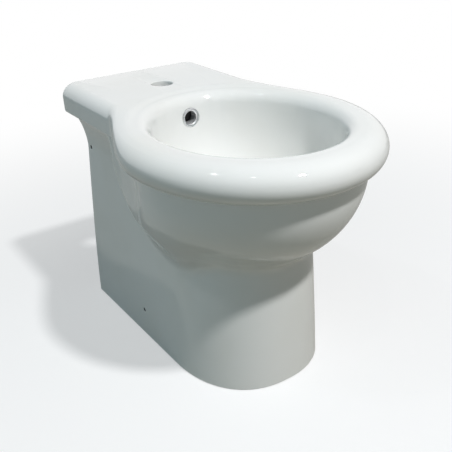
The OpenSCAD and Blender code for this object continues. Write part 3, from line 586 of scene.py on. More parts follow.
def slabRing(inRim, inDeck, inBack, zRim, zDeck, blend, pinch):
    return [(*slabPoint(inRim, inDeck, inBack, i, blend, pinch), mix(zRim, zDeck, deckShare[i]))
            for i in count]


def bodyRing(z, up):
    return [(*bodyPoint(z + up * deckShare[i], i), z + up * deckShare[i]) for i in count]


def ovalRing(a, b, zRim, zDeck, rib=0):
    ring = []
    for i in count:
        r = ovalR(a, b, turns[i])
        if rib and turns[i] < math.pi / 2:
            r += rib * ease(form["ribFade"] - abs(r * math.sin(turns[i])) / form["ribHalf"])
        ring.append((*fromRim(r, turns[i]), mix(zRim, zDeck, deckShare[i])))
    return ring


def rimRing(inset, zRim, zDeck):
    return ovalRing(form["rimW"] / 2 - inset, form["rimL"] / 2 - inset, zRim, zDeck)


# A ring moved inwards by d, square to its own run
def drawnIn(ring, d, z=None):
    drawn = []
    for i, (x, y, height) in enumerate(ring):
        before = ring[i - 1] if i else (-ring[1][0], ring[1][1])
        after = ring[i + 1] if i < halfCount else (-ring[i - 1][0], ring[i - 1][1])
        run = Vector((after[0] - before[0], after[1] - before[1])).normalized()
        inner = (0 if i in (0, halfCount) else x + run.y * d, y - run.x * d)
        drawn.append((*inner, height if z is None else z))
    return drawn


# The basin's section: how far out and how far down at a turn, and the turn at a radius
def basinOut(turn):
    return math.cos(turn) ** (2 / form["basinFull"])


def basinDown(turn):
    return max(math.sin(turn), 0) ** (2 / form["basinFull"])


def basinTurn(a, r):
    return math.acos((r / a) ** (form["basinFull"] / 2))


def roundRing(r, z):
    return ovalRing(r, r, z, z)


def basinRings():
    rings = [roundRing(form["wasteD"] / 2, seatZ), roundRing(form["seatR"] - 1, seatZ)]
    for k in range(finer["basin"] + 1):
        turn = basinTurn(basinA, form["seatR"] + 1) * (1 - k / finer["basin"])
        z = lipZ - form["basinDepth"] * basinDown(turn)
        rings.append(ovalRing(basinA * basinOut(turn), basinB * basinOut(turn), z, z))
    for k in range(1, finer["lip"] + 1):
        turn = math.pi / 2 * k / finer["lip"]
        inset = form["rimCrest"] + form["lipR"] * math.cos(turn)
        z = lipZ + form["lipR"] * math.sin(turn)
        rings.append(rimRing(inset, z, z))
    return rings


# From the crest over the rim's rounding on one side and the deck on the other
def crestRings():
    rings, levelEnd = [], 2 / 3
    for k in range(1, finer["crest"] + 1):
        share = k / finer["crest"]
        if share <= levelEnd:
            inset, z = mix(form["rimCrest"], form["rimRound"], share / levelEnd), form["rimH"]
        else:
            turn = math.radians(mix(90, roll["crestEnd"], (share - levelEnd) / (1 - levelEnd)))
            inset = form["rimRound"] * (1 - math.cos(turn))
            z = form["rimH"] - form["rimBand"] / 2 * (1 - math.sin(turn))
        rings.append(rimRing(inset, z, mix(form["rimH"], form["deckH"], ease(share))))
    return rings


# Round the rim's roll, and on the deck down its upper rounding, its face and its lower edge
def slabRings():
    rings = []
    upperEnd, lowerStart = 4 / 9, 6 / 9
    tall = form["deckEdge"] - form["deckR"] - form["edgeR"]
    for k in range(finer["slab"] + 1):
        share = k / finer["slab"]
        turn = math.radians(mix(roll["slabStart"], roll["slabEnd"], share))
        inRim = form["rimRound"] * (1 - math.cos(turn))
        zRim = form["rimH"] - form["rimBand"] / 2 * (1 - math.sin(turn))
        upper = math.pi / 2 * (1 - min(share / upperEnd, 1))
        lower = math.pi / 2 * held((share - lowerStart) / (1 - lowerStart))
        face = held((share - upperEnd) / (lowerStart - upperEnd)) * tall
        inBack = form["edgeR"] * (1 - math.cos(upper))
        inDeck = form["deckR"] * (1 - math.cos(upper)) + form["edgeR"] * (1 - math.cos(lower))
        zDeck = form["deckH"] - form["deckR"] * (1 - math.sin(upper)) - face - form["edgeR"] * math.sin(lower)
        blend = mix(form["deckBlend"], form["notchBlend"], ease(share / upperEnd))
        pinch = form["pinch"] * ease(share / upperEnd)
        rings.append(slabRing(inRim, inDeck, inBack, zRim, zDeck, blend, pinch))
    return rings


# How the body's rings crowd towards the slab, how fast their lift under the deck fades, and the first ring
spacing = dict(crowd=1.3, fade=6, first=0.4)


# The body's rings by number: their height, and how much higher they lie under the deck
def level(k):
    return bowlTop * (1 - (k / finer["wall"]) ** spacing["crowd"])


def lift(k):
    return (coveTop - bowlTop) * (1 - k / finer["wall"]) ** spacing["fade"]


def outerRings():
    rings = [bodyRing(level(spacing["first"]), lift(spacing["first"]))]
    rings += [bodyRing(level(k), lift(k)) for k in range(1, finer["wall"])]
    return rings + [bodyRing(form["footBevel"], 0), drawnIn(bodyRing(0, 0), form["footBevel"], 0)]


# The inside follows the outside at the wall's thickness, with its own corners at the back
def hollowRing(z, up):
    ring = drawnIn(bodyRing(z, up), form["wall"])
    for i in range(flatCount + 1):
        x, y = backPoint(sideW(z + up) - form["wall"], wallY - form["wall"], form["hollowCorner"], i)
        ring[i] = (x, y, ring[i][2])
    return ring


# Up the inside, over the roof under the deck and the rim, and round the basin's underside to the waste hole
def hollowRings():
    roof, rimRoof, flat = form["deckH"] - form["deckT"], bowlTop + 2, form["seatR"] + 4
    rings = [hollowRing(0, 0)] + [hollowRing(level(k), lift(k)) for k in range(finer["wall"] - 1, 0, -2)]
    top = drawnIn(hollowRing(level(1), lift(1)), form["edgeR"])
    rings.append([(x, y, mix(rimRoof, roof, share)) for (x, y, z), share in zip(top, deckShare)])
    rings.append(ovalRing(underA, underB, rimRoof, roof, form["ribT"]))
    start = math.radians(12)              # of the basin's section, where the roof ends
    for k in range(1, finer["under"] + 1):
        share = k / finer["under"]
        turn = mix(start, basinTurn(underA, flat), share)
        z = lipZ - (lipZ - underZ) * basinDown(turn)
        rib = form["ribT"] * min(1, 2 - 2 * share)
        rings.append(ovalRing(underA * basinOut(turn), underB * basinOut(turn), z, z, rib))
    return rings + [roundRing(flat - 1, underZ), roundRing(form["wasteD"] / 2, underZ)]


# Half the casting as one strip, extruded ring by ring from the waste hole over the rim to the inside
def castHalf():
    outside = basinRings() + crestRings() + slabRings() + outerRings()
    inside = hollowRings()
    bm = bmesh.new()
    verts = [bm.verts.new(Vector(p) * mm) for p in outside[0]]
    edges = [bm.edges.new(pair) for pair in zip(verts, verts[1:])]
    for k, ring in enumerate((outside + inside)[1:]):
        grown = bmesh.ops.extrude_edge_only(bm, edges=edges)["geom"]
        new = {g for g in grown if isinstance(g, bmesh.types.BMVert)}
        edges = [g for g in grown if isinstance(g, bmesh.types.BMEdge) and set(g.verts) <= new]
        faces = [g for g in grown if isinstance(g, bmesh.types.BMFace)]
        verts = [next(e.other_vert(v) for e in v.link_edges if e.other_vert(v) in new) for v in verts]
        for v, point in zip(verts, ring):
            v.co = Vector(point) * mm
        for face in faces:                # glazed outside, bare inside
            face.material_index = 0 if k < len(outside) - 1 else 1
    return bm


# How a glazed mouth turns over, in degrees and steps, and how far a cutter stands out above its hole, mm
flared = dict(turn=78, steps=6, wider=3, over=0.7, plainOver=3)


# A cutter with a mouth that flares like a glazed edge: radius, flare, place, direction and depth, in mm.
# The hole's wall gets the lining, by its number among the casting's materials; number 2 is the near-black
# skin of painted shade
def holeCutter(radius, flare, place, along, deep, lining=0):
    bm = bmesh.new()
    outline = [(0, -deep), (radius, -deep), (radius, -flare)]
    for k in range(1, flared["steps"] + 1):
        a = math.radians(flared["turn"]) * k / flared["steps"]
        outline.append((radius + flare * (1 - math.cos(a)), -flare * (1 - math.sin(a))))
    if flare:
        outline += [(outline[-1][0] + flared["wider"], flared["over"]), (0, flared["over"])]
    else:
        outline += [(radius, flared["plainOver"]), (0, flared["plainOver"])]
    turned(bm, outline, place, along, 64)
    for face in bm.faces:
        face.material_index = lining
    return meshOf(bm)


# The opening at the back, with round upper corners
def backCutter():
    half, r, past = form["waistW"] / 2 - form["wall"] - form["backLip"], form["backOpenR"], 2
    outline = [(half, -past)] + [(half - r + r * math.cos(a), form["backOpenH"] - r + r * math.sin(a))
                                 for a in (math.pi / 2 * k / 12 for k in range(13))]
    outline += [(-x, z) for x, z in reversed(outline)]
    bm = bmesh.new()
    face = bm.faces.new([bm.verts.new((x * mm, (wallY + past) * mm, z * mm)) for x, z in outline])
    grown = bmesh.ops.extrude_face_region(bm, geom=[face])["geom"]
    deep = form["wall"] + form["hollowCorner"] + 2 * past
    ends = [g for g in grown if isinstance(g, bmesh.types.BMVert)]
    bmesh.ops.translate(bm, vec=(0, -deep * mm, 0), verts=ends)
    bmesh.ops.recalc_face_normals(bm, faces=bm.faces)
    return meshOf(bm)


# Cuts one mesh by several and gives back the result
def cutWith(mesh, cutters, operation="DIFFERENCE"):
    body = bpy.data.objects.new("blank", mesh)
    bpy.context.collection.objects.link(body)
    tools = bpy.data.collections.new("tools")
    bpy.context.scene.collection.children.link(tools)
    for cutter in cutters:
        tools.objects.link(bpy.data.objects.new("tool", cutter))
    modifier = body.modifiers.new("cut", "BOOLEAN")
    modifier.operand_type, modifier.collection, modifier.solver = "COLLECTION", tools, "EXACT"
    modifier.operation = operation
    done = bpy.data.meshes.new_from_object(body.evaluated_get(bpy.context.evaluated_depsgraph_get()))
    for tool in list(tools.objects) + [body]:
        bpy.data.objects.remove(tool)
    bpy.data.collections.remove(tools)
    return done


# How deep the holes are cut, how wide their glazed mouths flare, and how much wider the overflow's flat
# ground is, mm
holes = dict(tapDeep=22, tapFlare=2.2, sideDeep=18, sideFlare=1.1, sideMouth=1.3, overflowDeep=20, ground=3.5)


def makeCeramicBody():
    bm = castHalf()
    bmesh.ops.mirror(bm, geom=bm.verts[:] + bm.edges[:] + bm.faces[:], axis="X", merge_dist=touch)
    bmesh.ops.remove_doubles(bm, verts=bm.verts, dist=touch)
    loops = [e for e in bm.edges if e.is_boundary]
    bmesh.ops.bridge_loops(bm, edges=loops)
    bmesh.ops.recalc_face_normals(bm, faces=bm.faces)
    h, tapHole, r = holes, (0, tapY, form["deckH"]), form["sideHoleD"] / 2
    cutters = [holeCutter(form["tapD"] / 2, h["tapFlare"], tapHole, (0, 0, 1), h["tapDeep"]), backCutter()]
    for y, z in (form["lowHole"], form["highHole"]):
        slope = (sideW(z + 1) - sideW(z - 1)) / 2
        for side in (-1, 1):
            out = Vector((side, 0, -slope)).normalized()
            mouth = (side * sideW(z), y, z)
            # the side hole's wall takes skin 2, painted shade
            cutters.append(holeCutter(r, 0, mouth, (side, 0, 0), h["sideDeep"], 2))
            cutters.append(holeCutter(r - 0.05, h["sideFlare"], mouth, out, h["sideMouth"]))
    r = form["overflowD"] / 2
    cutters.append(holeCutter(r + h["ground"], 0, overflowSeat, (0, -1, 0), 0))
    # the overflow channel's wall takes skin 2, painted shade
    cutters.append(holeCutter(r, 0, overflowSeat, (0, -1, 0), h["overflowDeep"], 2))
    # the skins: glazed outside, bare inside, and the holes' walls in painted shade
    blank, skins = meshOf(bm, "blank"), [china, clay, holeShade]    # outside, inside, holes
    for material in skins:
        blank.materials.append(material)
    bm = bmeshOf(cutWith(blank, cutters))
    finishPiece(bm, "ceramic_body_glazed", bidet, ["ceramic_body"], "china", 32, skins)


makeCeramicBody()
print("ceramic body made")


# A node's radius across X, and its lowest and highest corner, in mm
def spread(name):
    low, high = (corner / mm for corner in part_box(name))
    return (high.x - low.x) / 2, low, high


# A piece turned about the waste's upright axis, or about another one
def turnedPiece(name, body, outline, replaced, slot, start=(0, rimY, 0), along=(0, 0, 1)):
    bm = bmesh.new()
    turned(bm, rounded(outline), start, along)
    finishPiece(bm, name, body, [replaced], slot)


# Crests and roots of a thread along an outline, cut in from radius r, at shares of the pitch
def threadOutline(r, low, high, pitch=1.5, deep=0.55):
    points = []
    for k in range(int((high - low) / pitch)):
        z = low + k * pitch
        points += [(r, z, 0), (r, z + 0.3 * pitch, 0)]
        points += [(r - deep, z + 0.55 * pitch, 0), (r - deep, z + 0.75 * pitch, 0)]
    return points + [(r, high, 0)]


def hexCorner(across):                    # half the width over the corners
    return across / 2 / math.cos(math.pi / 6)


# A bar with six flats, from low to high along its axis
def sixFlats(across, low, high, start, along=(0, 0, 1)):
    bm = bmesh.new()
    corner = hexCorner(across)
    turned(bm, [(0, low), (corner, low), (corner, high), (0, high)], start, along, 6)
    return meshOf(bm)


# Grooves round a nut or a cup, mm
grip = dict(count=16, radius=2.4, out=1.2)


# Round-ended grooves side by side round an axis
def gripGrooves(r, low, high, start, along=(0, 0, 1)):
    bm = bmesh.new()
    size = grip["radius"]
    end = [(size * math.cos(a), high + size * math.sin(a)) for a in (math.pi / 2 * k / 5 for k in range(5))]
    outline = [(0, low), (size, low)] + end + [(0, high + size)]
    for k in range(grip["count"]):
        made = turned(bm, outline, (r + grip["out"], 0, 0), steps=24)
        turn = Matrix.Rotation(math.tau * k / grip["count"], 4, "Z")
        bmesh.ops.transform(bm, matrix=placing(start, along) @ turn, verts=made)
    return meshOf(bm)


def afterCut(bm, cutters, operation="DIFFERENCE"):
    return bmeshOf(cutWith(meshOf(bm, "blank"), cutters, operation))


# Shared fits, mm: what goes over the waste's or the trap's thread, and over a pipe
overThread, overPipe = 21.1, 16.1

# The overflow's chrome ring and the soft ring behind it, mm
overflowRing = dict(bore=10, sleeve=11.7, outer=15, seat=0.8, proud=3.0, deep=14, crest=13.3, dish=11.3,
                    ribs=3, ribStep=3)


# The ring's face is a soft bead that dishes inwards, and its sleeve is only thinly plated inside
def makeOverflowRing():
    o = overflowRing
    outline = [(o["bore"], -o["deep"], 0.4), (o["sleeve"], -o["deep"], 0.4)]
    for k in range(o["ribs"]):
        z = -o["deep"] + o["ribStep"] * (k + 1)
        outline += [(o["sleeve"], z, 0), (o["sleeve"] + 0.2, z + 0.9, 0.2), (o["sleeve"], z + 1.2, 0)]
    outline += [(o["sleeve"], o["seat"], 0), (o["outer"], o["seat"], 0.3), (o["outer"], o["proud"] - 1, 0.7),
                (o["crest"], o["proud"], 1.1), (o["dish"], o["proud"] - 0.5, 0.9),
                (o["bore"], o["seat"] + 0.4, 0.7)]
    bm = bmesh.new()
    turned(bm, rounded(outline), overflowSeat, (0, -1, 0), 128)
    for face in bm.faces:
        middle = face.calc_center_median() / mm - Vector(overflowSeat)
        inBore = math.hypot(middle.x, middle.z) < o["bore"] + 0.1
        face.material_index = 1 if inBore and middle.y > -o["seat"] else 0
    finishPiece(bm, "overflowRing", bidet, ["overflow_bezel"], "chrome", 35, [chrome, thinPlate])
    inner, outer = o["sleeve"] + 0.1, o["outer"] - 0.5
    outline = [(inner, 0, 0.2), (outer, 0, 0.35), (outer, o["seat"], 0.35), (inner, o["seat"], 0.2)]
    turnedPiece("overflowGasket", bidet, outline, "overflow_seal", "rubber", overflowSeat, (0, -1, 0))


# The waste: a flanged tube with overflow slots, a threaded end, and a hub on four arms for the plug, mm
wasteTube = dict(bore=18, tube=21, flange=2.5, lip=23, sink=5, slope=3.2, plain=4,
                 slots=4, slot=7, slotTall=10, slotFrom=12, slotTo=26,
                 arms=4, arm=2.5, hub=10.5, hubBore=8.6, hubTall=12, hubUp=2)


# Each slot is cut by two round ends and the block between them
def slotCutters():
    w, cutters = wasteTube, []
    r, start, end, middle = w["slot"] / 2, w["slotFrom"], w["slotTo"], (seatZ + underZ) / 2
    straight = w["slotTall"] - w["slot"]
    for k in range(w["slots"]):
        turn = math.tau / w["slots"] * k
        for up in (-1, 1):
            bm = bmesh.new()
            turned(bm, [(0, start), (r, start), (r, end), (0, end)], (0, rimY, middle + up * straight / 2),
                   (math.sin(turn), math.cos(turn), 0), 24)
            cutters.append(meshOf(bm))
        bm = bmesh.new()
        bmesh.ops.create_cube(bm, size=mm)
        bmesh.ops.scale(bm, vec=(w["slot"], end - start, straight), verts=bm.verts)
        bmesh.ops.translate(bm, vec=(0, (start + end) / 2 * mm, 0), verts=bm.verts)
        aim = placing((0, rimY, middle), (0, 0, 1)) @ Matrix.Rotation(-turn, 4, "Z")
        bmesh.ops.transform(bm, matrix=aim, verts=bm.verts)
        cutters.append(meshOf(bm))
    return cutters


# The hub that holds the plug's cartridge, on its arms
def addHub(bm, low):
    w = wasteTube
    high, middle, bore = low + w["hubTall"], low + w["hubTall"] / 2, w["hubBore"]
    reach = w["bore"] - w["hub"] + 1          # of an arm, a little into the tube's wall and the hub's
    outline = [(bore, low, 0.3), (w["hub"], low, 0.5), (w["hub"], high, 0.5), (bore, high, 0.3)]
    turned(bm, rounded(outline), (0, rimY, 0), steps=64)
    for k in range(w["arms"]):
        arm = bmesh.ops.create_cube(bm, size=mm)["verts"]
        bmesh.ops.scale(bm, vec=(reach, w["arm"], w["hubTall"] - 1), verts=arm)
        edges = list({e for v in arm for e in v.link_edges})
        bmesh.ops.translate(bm, vec=((w["hub"] + w["bore"]) / 2 * mm, 0, middle * mm), verts=arm)
        turn = Matrix.Rotation(math.pi / 4 + math.tau / w["arms"] * k, 4, "Z")
        bmesh.ops.transform(bm, matrix=placing((0, rimY, 0), (0, 0, 1)) @ turn, verts=arm)
        bmesh.ops.bevel(bm, geom=edges, affect="EDGES", offset=0.4 * mm, segments=2, profile=0.5, material=-1)


def makeWasteTube():
    w = wasteTube
    r, low, high = spread("waste_body")
    tube, flange, split = w["tube"], high.z - w["flange"], underZ - w["plain"]
    outline = [(w["bore"], split, 0), (tube, split, 0), (tube, flange, 0), (r, flange, 0.3),
               (r, flange + 1.1, 0.5), (r - w["slope"], high.z, 1.4), (w["lip"], high.z, 0.8),
               (w["bore"], high.z - w["sink"], 1.2)]
    bm = bmesh.new()
    turned(bm, rounded(outline), (0, rimY, 0), steps=128)
    bm = afterCut(bm, slotCutters())
    outline = [(w["bore"], low.z, 0.3), (tube - 0.8, low.z, 0.2)] + threadOutline(tube, low.z + 0.8, split)
    turned(bm, rounded(outline + [(w["bore"], split, 0)]), (0, rimY, 0))
    addHub(bm, spread("plug_guide")[1].z + w["hubUp"])
    finishPiece(bm, "wasteTube", bidet, ["waste_body"], "chrome", 32)


# The brass nut: six flats under a round pressure plate, mm
wasteNut = dict(flats=58, plate=3, plateIn=3, chamfer=2.2, overlap=0.3)


def makeWasteNut():
    n = wasteNut
    r, low, high = spread("waste_backnut")
    plateZ, plateR = high.z - n["plate"], r - n["plateIn"]
    corner, top = hexCorner(n["flats"]) + 0.1, plateZ + n["overlap"]
    outline = [(overThread, low.z, 0.6), (n["flats"] / 2 - 0.8, low.z, 0), (corner, low.z + n["chamfer"], 0),
               (corner, top, 0), (overThread, top, 0)]
    bm = bmesh.new()
    turned(bm, rounded(outline), (0, rimY, 0))
    bm = afterCut(bm, [sixFlats(n["flats"], low.z - 1, high.z, (0, rimY, 0))], "INTERSECT")
    outline = [(overThread, plateZ, 0), (plateR, plateZ, 0.5), (plateR, high.z, 0.5),
               (overThread, high.z, 0.4)]
    turned(bm, rounded(outline), (0, rimY, 0))
    finishPiece(bm, "wasteNut", bidet, ["waste_backnut"], "brass", 25)


# The plug's dome with a boss under it, and its rubber ring round the boss, mm
plugDome = dict(edge=2, boss=8, bossTall=2, steps=24)


def makePlugDome():
    p = plugDome
    r, low, high = spread("plug_cap")
    underside = low.z + p["bossTall"]
    rimZ = underside + p["edge"]
    tall = high.z - rimZ
    ball = (r * r + tall * tall) / (2 * tall)
    first = math.asin((r - 0.9) / ball)
    angles = [first * (1 - k / p["steps"]) for k in range(p["steps"] + 1)]
    dome = [(ball * math.sin(a), high.z - ball + ball * math.cos(a), 0) for a in angles]
    outline = [(0, low.z, 0), (p["boss"], low.z, 0.5), (p["boss"], underside, 0.4), (r - 0.8, underside, 0.3),
               (r, underside + 0.8, 0.4), (r, rimZ - 0.2, 0.5)]
    turnedPiece("plugDome", plug, outline + dome, "plug_cap", "chrome")
    r, low, high = spread("plug_seal")
    inner = p["boss"] + 0.1
    outline = [(inner, low.z, 0.4), (r - 1.5, low.z, 0.9), (r, high.z, 0.5), (inner, high.z, 0.2)]
    turnedPiece("plugGasket", plug, outline, "plug_seal", "rubber")


# The plug's spindle, with a collar that the spring lifts and a shoulder under the dome, mm
plugStem = dict(rod=3, collar=6.1, collarTall=2.5, shoulderTall=3)


def makePlugStem():
    p = plugStem
    r, low, high = spread("plug_stem")
    rod, collarTop, top = p["rod"], low.z + p["collarTall"], spread("plug_cap")[1].z
    under = top - p["shoulderTall"]
    outline = [(0, low.z, 0), (p["collar"], low.z, 0.4), (p["collar"], collarTop, 0.4), (rod, collarTop, 0.3),
               (rod, under, 0.4), (r, under, 0.5), (r, top, 0.4), (rod, top, 0), (rod, high.z, 0.6),
               (0, high.z, 0)]
    turnedPiece("plugStem", plug, outline, "plug_stem", "steel")


# The cartridge that the spindle slides in, with grip rings above the hub, mm
plugCartridge = dict(bore=3, roof=4, floor=2.5, wall=2, slack=0.06, rings=3, ringStep=3, ringsDown=12)


def makePlugCartridge():
    p = plugCartridge
    r, low, high = spread("plug_guide")
    outline = [(p["bore"], low.z, 0.2), (r, low.z, 0.8)]
    for k in range(p["rings"]):
        z = high.z - p["ringsDown"] + p["ringStep"] * k
        outline += [(r, z, 0.2), (r - 0.5, z + 0.5, 0.2), (r - 0.5, z + 1.2, 0.2), (r, z + 1.7, 0.2)]
    slide, inner = plugStem["rod"] + p["slack"], r - p["wall"]
    roof, floor = high.z - p["roof"], low.z + p["floor"]
    outline += [(r, high.z, 0.8), (slide, high.z, 0.2), (slide, roof, 0.1), (inner, roof, 0.2),
                (inner, floor, 0.2), (p["bore"], floor, 0.1)]
    turnedPiece("plugCartridge", bidet, outline, "plug_guide", "white_plastic")


# The plug's spring: wire in mm
spring = dict(wire=1.2, turns=6, stepsPerTurn=32)


# One coil, spun and lifted step by step
def makeSpring():
    r, low, high = spread("plug_spring")
    size, steps = spring["wire"] / 2, spring["turns"] * spring["stepsPerTurn"]
    tall, travel = high.z - low.z, -joint["range_m"][0] / mm
    bm = bmesh.new()
    ring = bmesh.ops.create_circle(bm, segments=12, radius=size * mm)["verts"]
    bmesh.ops.rotate(bm, verts=ring, cent=(0, 0, 0), matrix=Matrix.Rotation(math.pi / 2, 3, "X"))
    bmesh.ops.translate(bm, verts=ring, vec=Vector((r - size, rimY, low.z + size)) * mm)
    climb, middle = (tall - 2 * size) / steps * mm, (0, rimY * mm, 0)
    bmesh.ops.spin(bm, geom=bm.verts[:] + bm.edges[:], cent=middle, axis=(0, 0, 1), dvec=(0, 0, climb),
                   angle=math.tau * spring["turns"], steps=steps, use_merge=False, use_duplicate=False)
    bmesh.ops.holes_fill(bm, edges=[e for e in bm.edges if e.is_boundary], sides=0)
    bmesh.ops.recalc_face_normals(bm, faces=bm.faces)
    piece = finishPiece(bm, "plugSpring", bidet, ["plug_spring"], "steel", 60)
    rimY * mm
    (tall - travel) / tall
    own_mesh(piece)


# Seals and washers by node: inner radius, drawing-in of the lower edge and corner in mm, and finish
sealRings = dict(
    waste_top_seal=(overThread, 0, 0.5, "white_plastic"),
    waste_bottom_seal=(overThread, 4, 1.2, "rubber"),
    waste_washer=(overThread, 0, 0.3, "white_plastic"),
    trap_inlet_washer=(15, 0, 0.4, "rubber"),
    trap_tube_washer=(overPipe, 1, 0.6, "rubber"),
    trap_cup_seal=(30, 0, 0.5, "rubber"),
)


def makeRings():
    for name, (inner, drawn, corner, slot) in sealRings.items():
        r, low, high = spread(name)
        words = name.split("_")
        title = words[0] + "".join(word.capitalize() for word in words[1:])
        small = corner * 0.6
        outline = [(inner, low.z, small), (r - drawn, low.z, corner), (r, high.z, corner),
                   (inner, high.z, small)]
        turnedPiece(title, bidet, outline, name, slot)
    r, low, high = spread("trap_outlet_washer")
    outline = [(overPipe, low.y, 0.4), (r - 1, low.y, 0.6), (r, high.y, 0.6), (overPipe, high.y, 0.4)]
    turnedPiece("trapOutletWasher", bidet, outline, "trap_outlet_washer", "rubber",
                (0, 0, (low.z + high.z) / 2), (0, 1, 0))


# A union nut's lip, and its grip grooves from before the open end to short of the lip, mm
unionNut = dict(mouth=16.3, lip=3, gripFrom=-3, gripShort=8.5)


# A grooved union nut, from its open end to its lip
def makeUnionNut(name, replaced, r, length, start, along):
    n = unionNut
    inside = length - n["lip"]
    outline = [(overThread, 0, 0.5), (r - 0.9, 0, 0.4), (r, 1.0, 0.6), (r, length - 4.2, 0.8),
               (r - 1.6, length - 3.2, 0.6), (r - 2.6, length, 1.4), (n["mouth"], length, 0.5),
               (n["mouth"], inside, 0.2), (overThread, inside, 0.3)]
    bm = bmesh.new()
    turned(bm, rounded(outline), start, along)
    bm = afterCut(bm, [gripGrooves(r, n["gripFrom"], length - n["gripShort"], start, along)])
    finishPiece(bm, name, bidet, [replaced], "chrome")


def outletHeight():                       # of the axis of the pipe to the wall
    r, low, high = spread("trap_outlet_nut")
    return (low.z + high.z) / 2


def makeUnionNuts():
    r, low, high = spread("trap_inlet_nut")
    makeUnionNut("trapInletNut", "trap_inlet_nut", r, high.z - low.z, (0, rimY, high.z), (0, 0, -1))
    r, low, high = spread("trap_tube_nut")
    makeUnionNut("trapTubeNut", "trap_tube_nut", r, high.z - low.z, (0, rimY, low.z), (0, 0, 1))
    r, low, high = spread("trap_outlet_nut")
    makeUnionNut("trapOutletNut", "trap_outlet_nut", r, high.y - low.y, (0, low.y, outletHeight()), (0, 1, 0))


# The two pipes, mm: the collar of the tube from the waste, and the mark that shows how far the outlet goes in
pipes = dict(outer=16, bore=14.5, collar=2.5, insert=45, markDeep=0.5)


def makeInletTube():
    p = pipes
    r, low, high = spread("trap_inlet_tube")
    collar = high.z - p["collar"]
    outline = [(p["bore"], low.z, 0.4), (p["outer"], low.z, 0.6), (p["outer"], collar, 0.8), (r, collar, 0.5),
               (r, high.z, 0.6), (p["bore"], high.z, 1.0)]
    turnedPiece("trapInletTube", bidet, outline, "trap_inlet_tube", "chrome")


def makeOutletPipe():
    p = pipes
    r, low, high = spread("trap_outlet_pipe")
    mark, inner = high.y - p["insert"], r - p["markDeep"]
    outline = [(p["bore"], low.y, 0.4), (r, low.y, 0.6), (r, mark - 1.5, 0.2), (inner, mark - 1.2, 0.2),
               (inner, mark - 0.3, 0.2), (r, mark, 0.2), (r, high.y - 1.5, 0.8), (r - 0.6, high.y, 0.4),
               (p["bore"], high.y, 0.4)]
    turnedPiece("trapOutletPipe", bidet, outline, "trap_outlet_pipe", "chrome",
                (0, 0, outletHeight()), (0, 1, 0))


# The trap's head: a threaded skirt below, a neck above and one to the wall, mm
trapHead = dict(wall=3, neck=21, clear=16.3, thread=13, pitch=2.0, threadDeep=0.7, shoulder=4, shoulderIn=5,
                root=7, collar=2.4, socket=14)


def makeTrapHead():
    t = trapHead
    r, low, high = spread("trap_body")
    neck, clear, inner = t["neck"], t["clear"], r - t["wall"]
    shoulder = outletHeight() + neck - 1
    under = shoulder - t["shoulder"]
    threadLow, threadHigh = low.z + 0.8, low.z + t["thread"]
    outline = [(inner, low.z, 0.4)] + threadOutline(r, threadLow, threadHigh, t["pitch"], t["threadDeep"])
    outline += [(r, under, 2.5), (r - t["shoulderIn"], shoulder, 1.6), (neck + 1.2, shoulder, 0.4),
                (neck, shoulder + 1.2, 0.6), (neck, high.z, 0.8), (clear, high.z, 0.5),
                (clear, under - 2, 0.5), (inner, under - 4, 2)]
    bm = bmesh.new()
    turned(bm, rounded(outline), (0, rimY, 0), steps=128)
    reach, start, collar, bore = high.y - rimY, r - t["root"], neck + t["collar"], pipes["bore"]
    socket = reach - t["socket"]
    outline = [(bore, start, 0), (collar, start, 0), (collar, r + 0.4, 0.9), (neck, r + 2, 0.9),
               (neck, reach, 0.8), (clear, reach, 0.5), (clear, socket, 0.3), (bore, socket, 0.3)]
    turned(bm, rounded(outline), (0, rimY, outletHeight()), (0, 1, 0), 96)
    finishPiece(bm, "trapHead", bidet, ["trap_body"], "chrome", 32)


# The trap's cup, with a ring groove in its bottom and grip grooves round its collar, mm
trapCup = dict(wall=3, round=10, groove=(10, 15), grooveDeep=0.8, collarDown=3, gripDown=6, gripShort=4.5)


def makeTrapCup():
    t = trapCup
    r, low, high = spread("trap_cup")
    headR, headLow, headHigh = spread("trap_body")
    collar, floor = headLow.z - t["collarDown"], low.z + t["wall"]
    inner, seat, groove = headR - t["wall"] - 1, headLow.z - 2, low.z + t["grooveDeep"]
    start, end = t["groove"]
    outline = [(0, low.z, 0), (start, low.z, 0.6), (start + 1, groove, 0.6), (end - 1, groove, 0.6),
               (end, low.z, 0.6), (headR, low.z, t["round"]), (headR, collar - 0.6, 0.8),
               (r - 0.8, collar, 0.5), (r, collar + 0.8, 0.5), (r, high.z, 1.0), (headR + 0.1, high.z, 0.5),
               (headR + 0.1, seat, 0.2), (inner, seat, 0.5), (inner, floor, 6), (0, floor, 0)]
    bm = bmesh.new()
    turned(bm, rounded(outline, 8), (0, rimY, 0), steps=128)
    bm = afterCut(bm, [gripGrooves(r, headLow.z - t["gripDown"], high.z - t["gripShort"], (0, rimY, 0))])
    finishPiece(bm, "trapCup", bidet, ["trap_cup"], "chrome")


makeOverflowRing()
makeWasteTube()
makeWasteNut()
makePlugDome()
makePlugStem()
makePlugCartridge()
makeSpring()
makeRings()
makeInletTube()
makeUnionNuts()
makeTrapHead()
makeTrapCup()
makeOutletPipe()
print("waste, plug and trap made")


# How far the brackets' edges are rounded, mm
brackets = dict(plastic=0.9, steel=0.45)


# A node's shape with its edges rounded: a merged copy, its flat faces joined, then beveled
def roundedCopy(name, title, radius, slot, segments=3):
    bm = bmeshOf(nodes[name].data)
    bmesh.ops.remove_doubles(bm, verts=bm.verts, dist=touch)
    bmesh.ops.dissolve_limit(bm, angle_limit=math.radians(1), verts=bm.verts, edges=bm.edges)
    edges = [e for e in bm.edges if e.is_manifold and e.calc_face_angle(0) > math.radians(40)]
    bmesh.ops.bevel(bm, geom=edges, affect="EDGES", offset=radius * mm, segments=segments, profile=0.5,
                    material=-1, clamp_overlap=True)
    piece = finishPiece(bm, title, bidet, [name], slot, 30)
    piece.modifiers.new("flatFaces", "WEIGHTED_NORMAL").keep_sharp = True


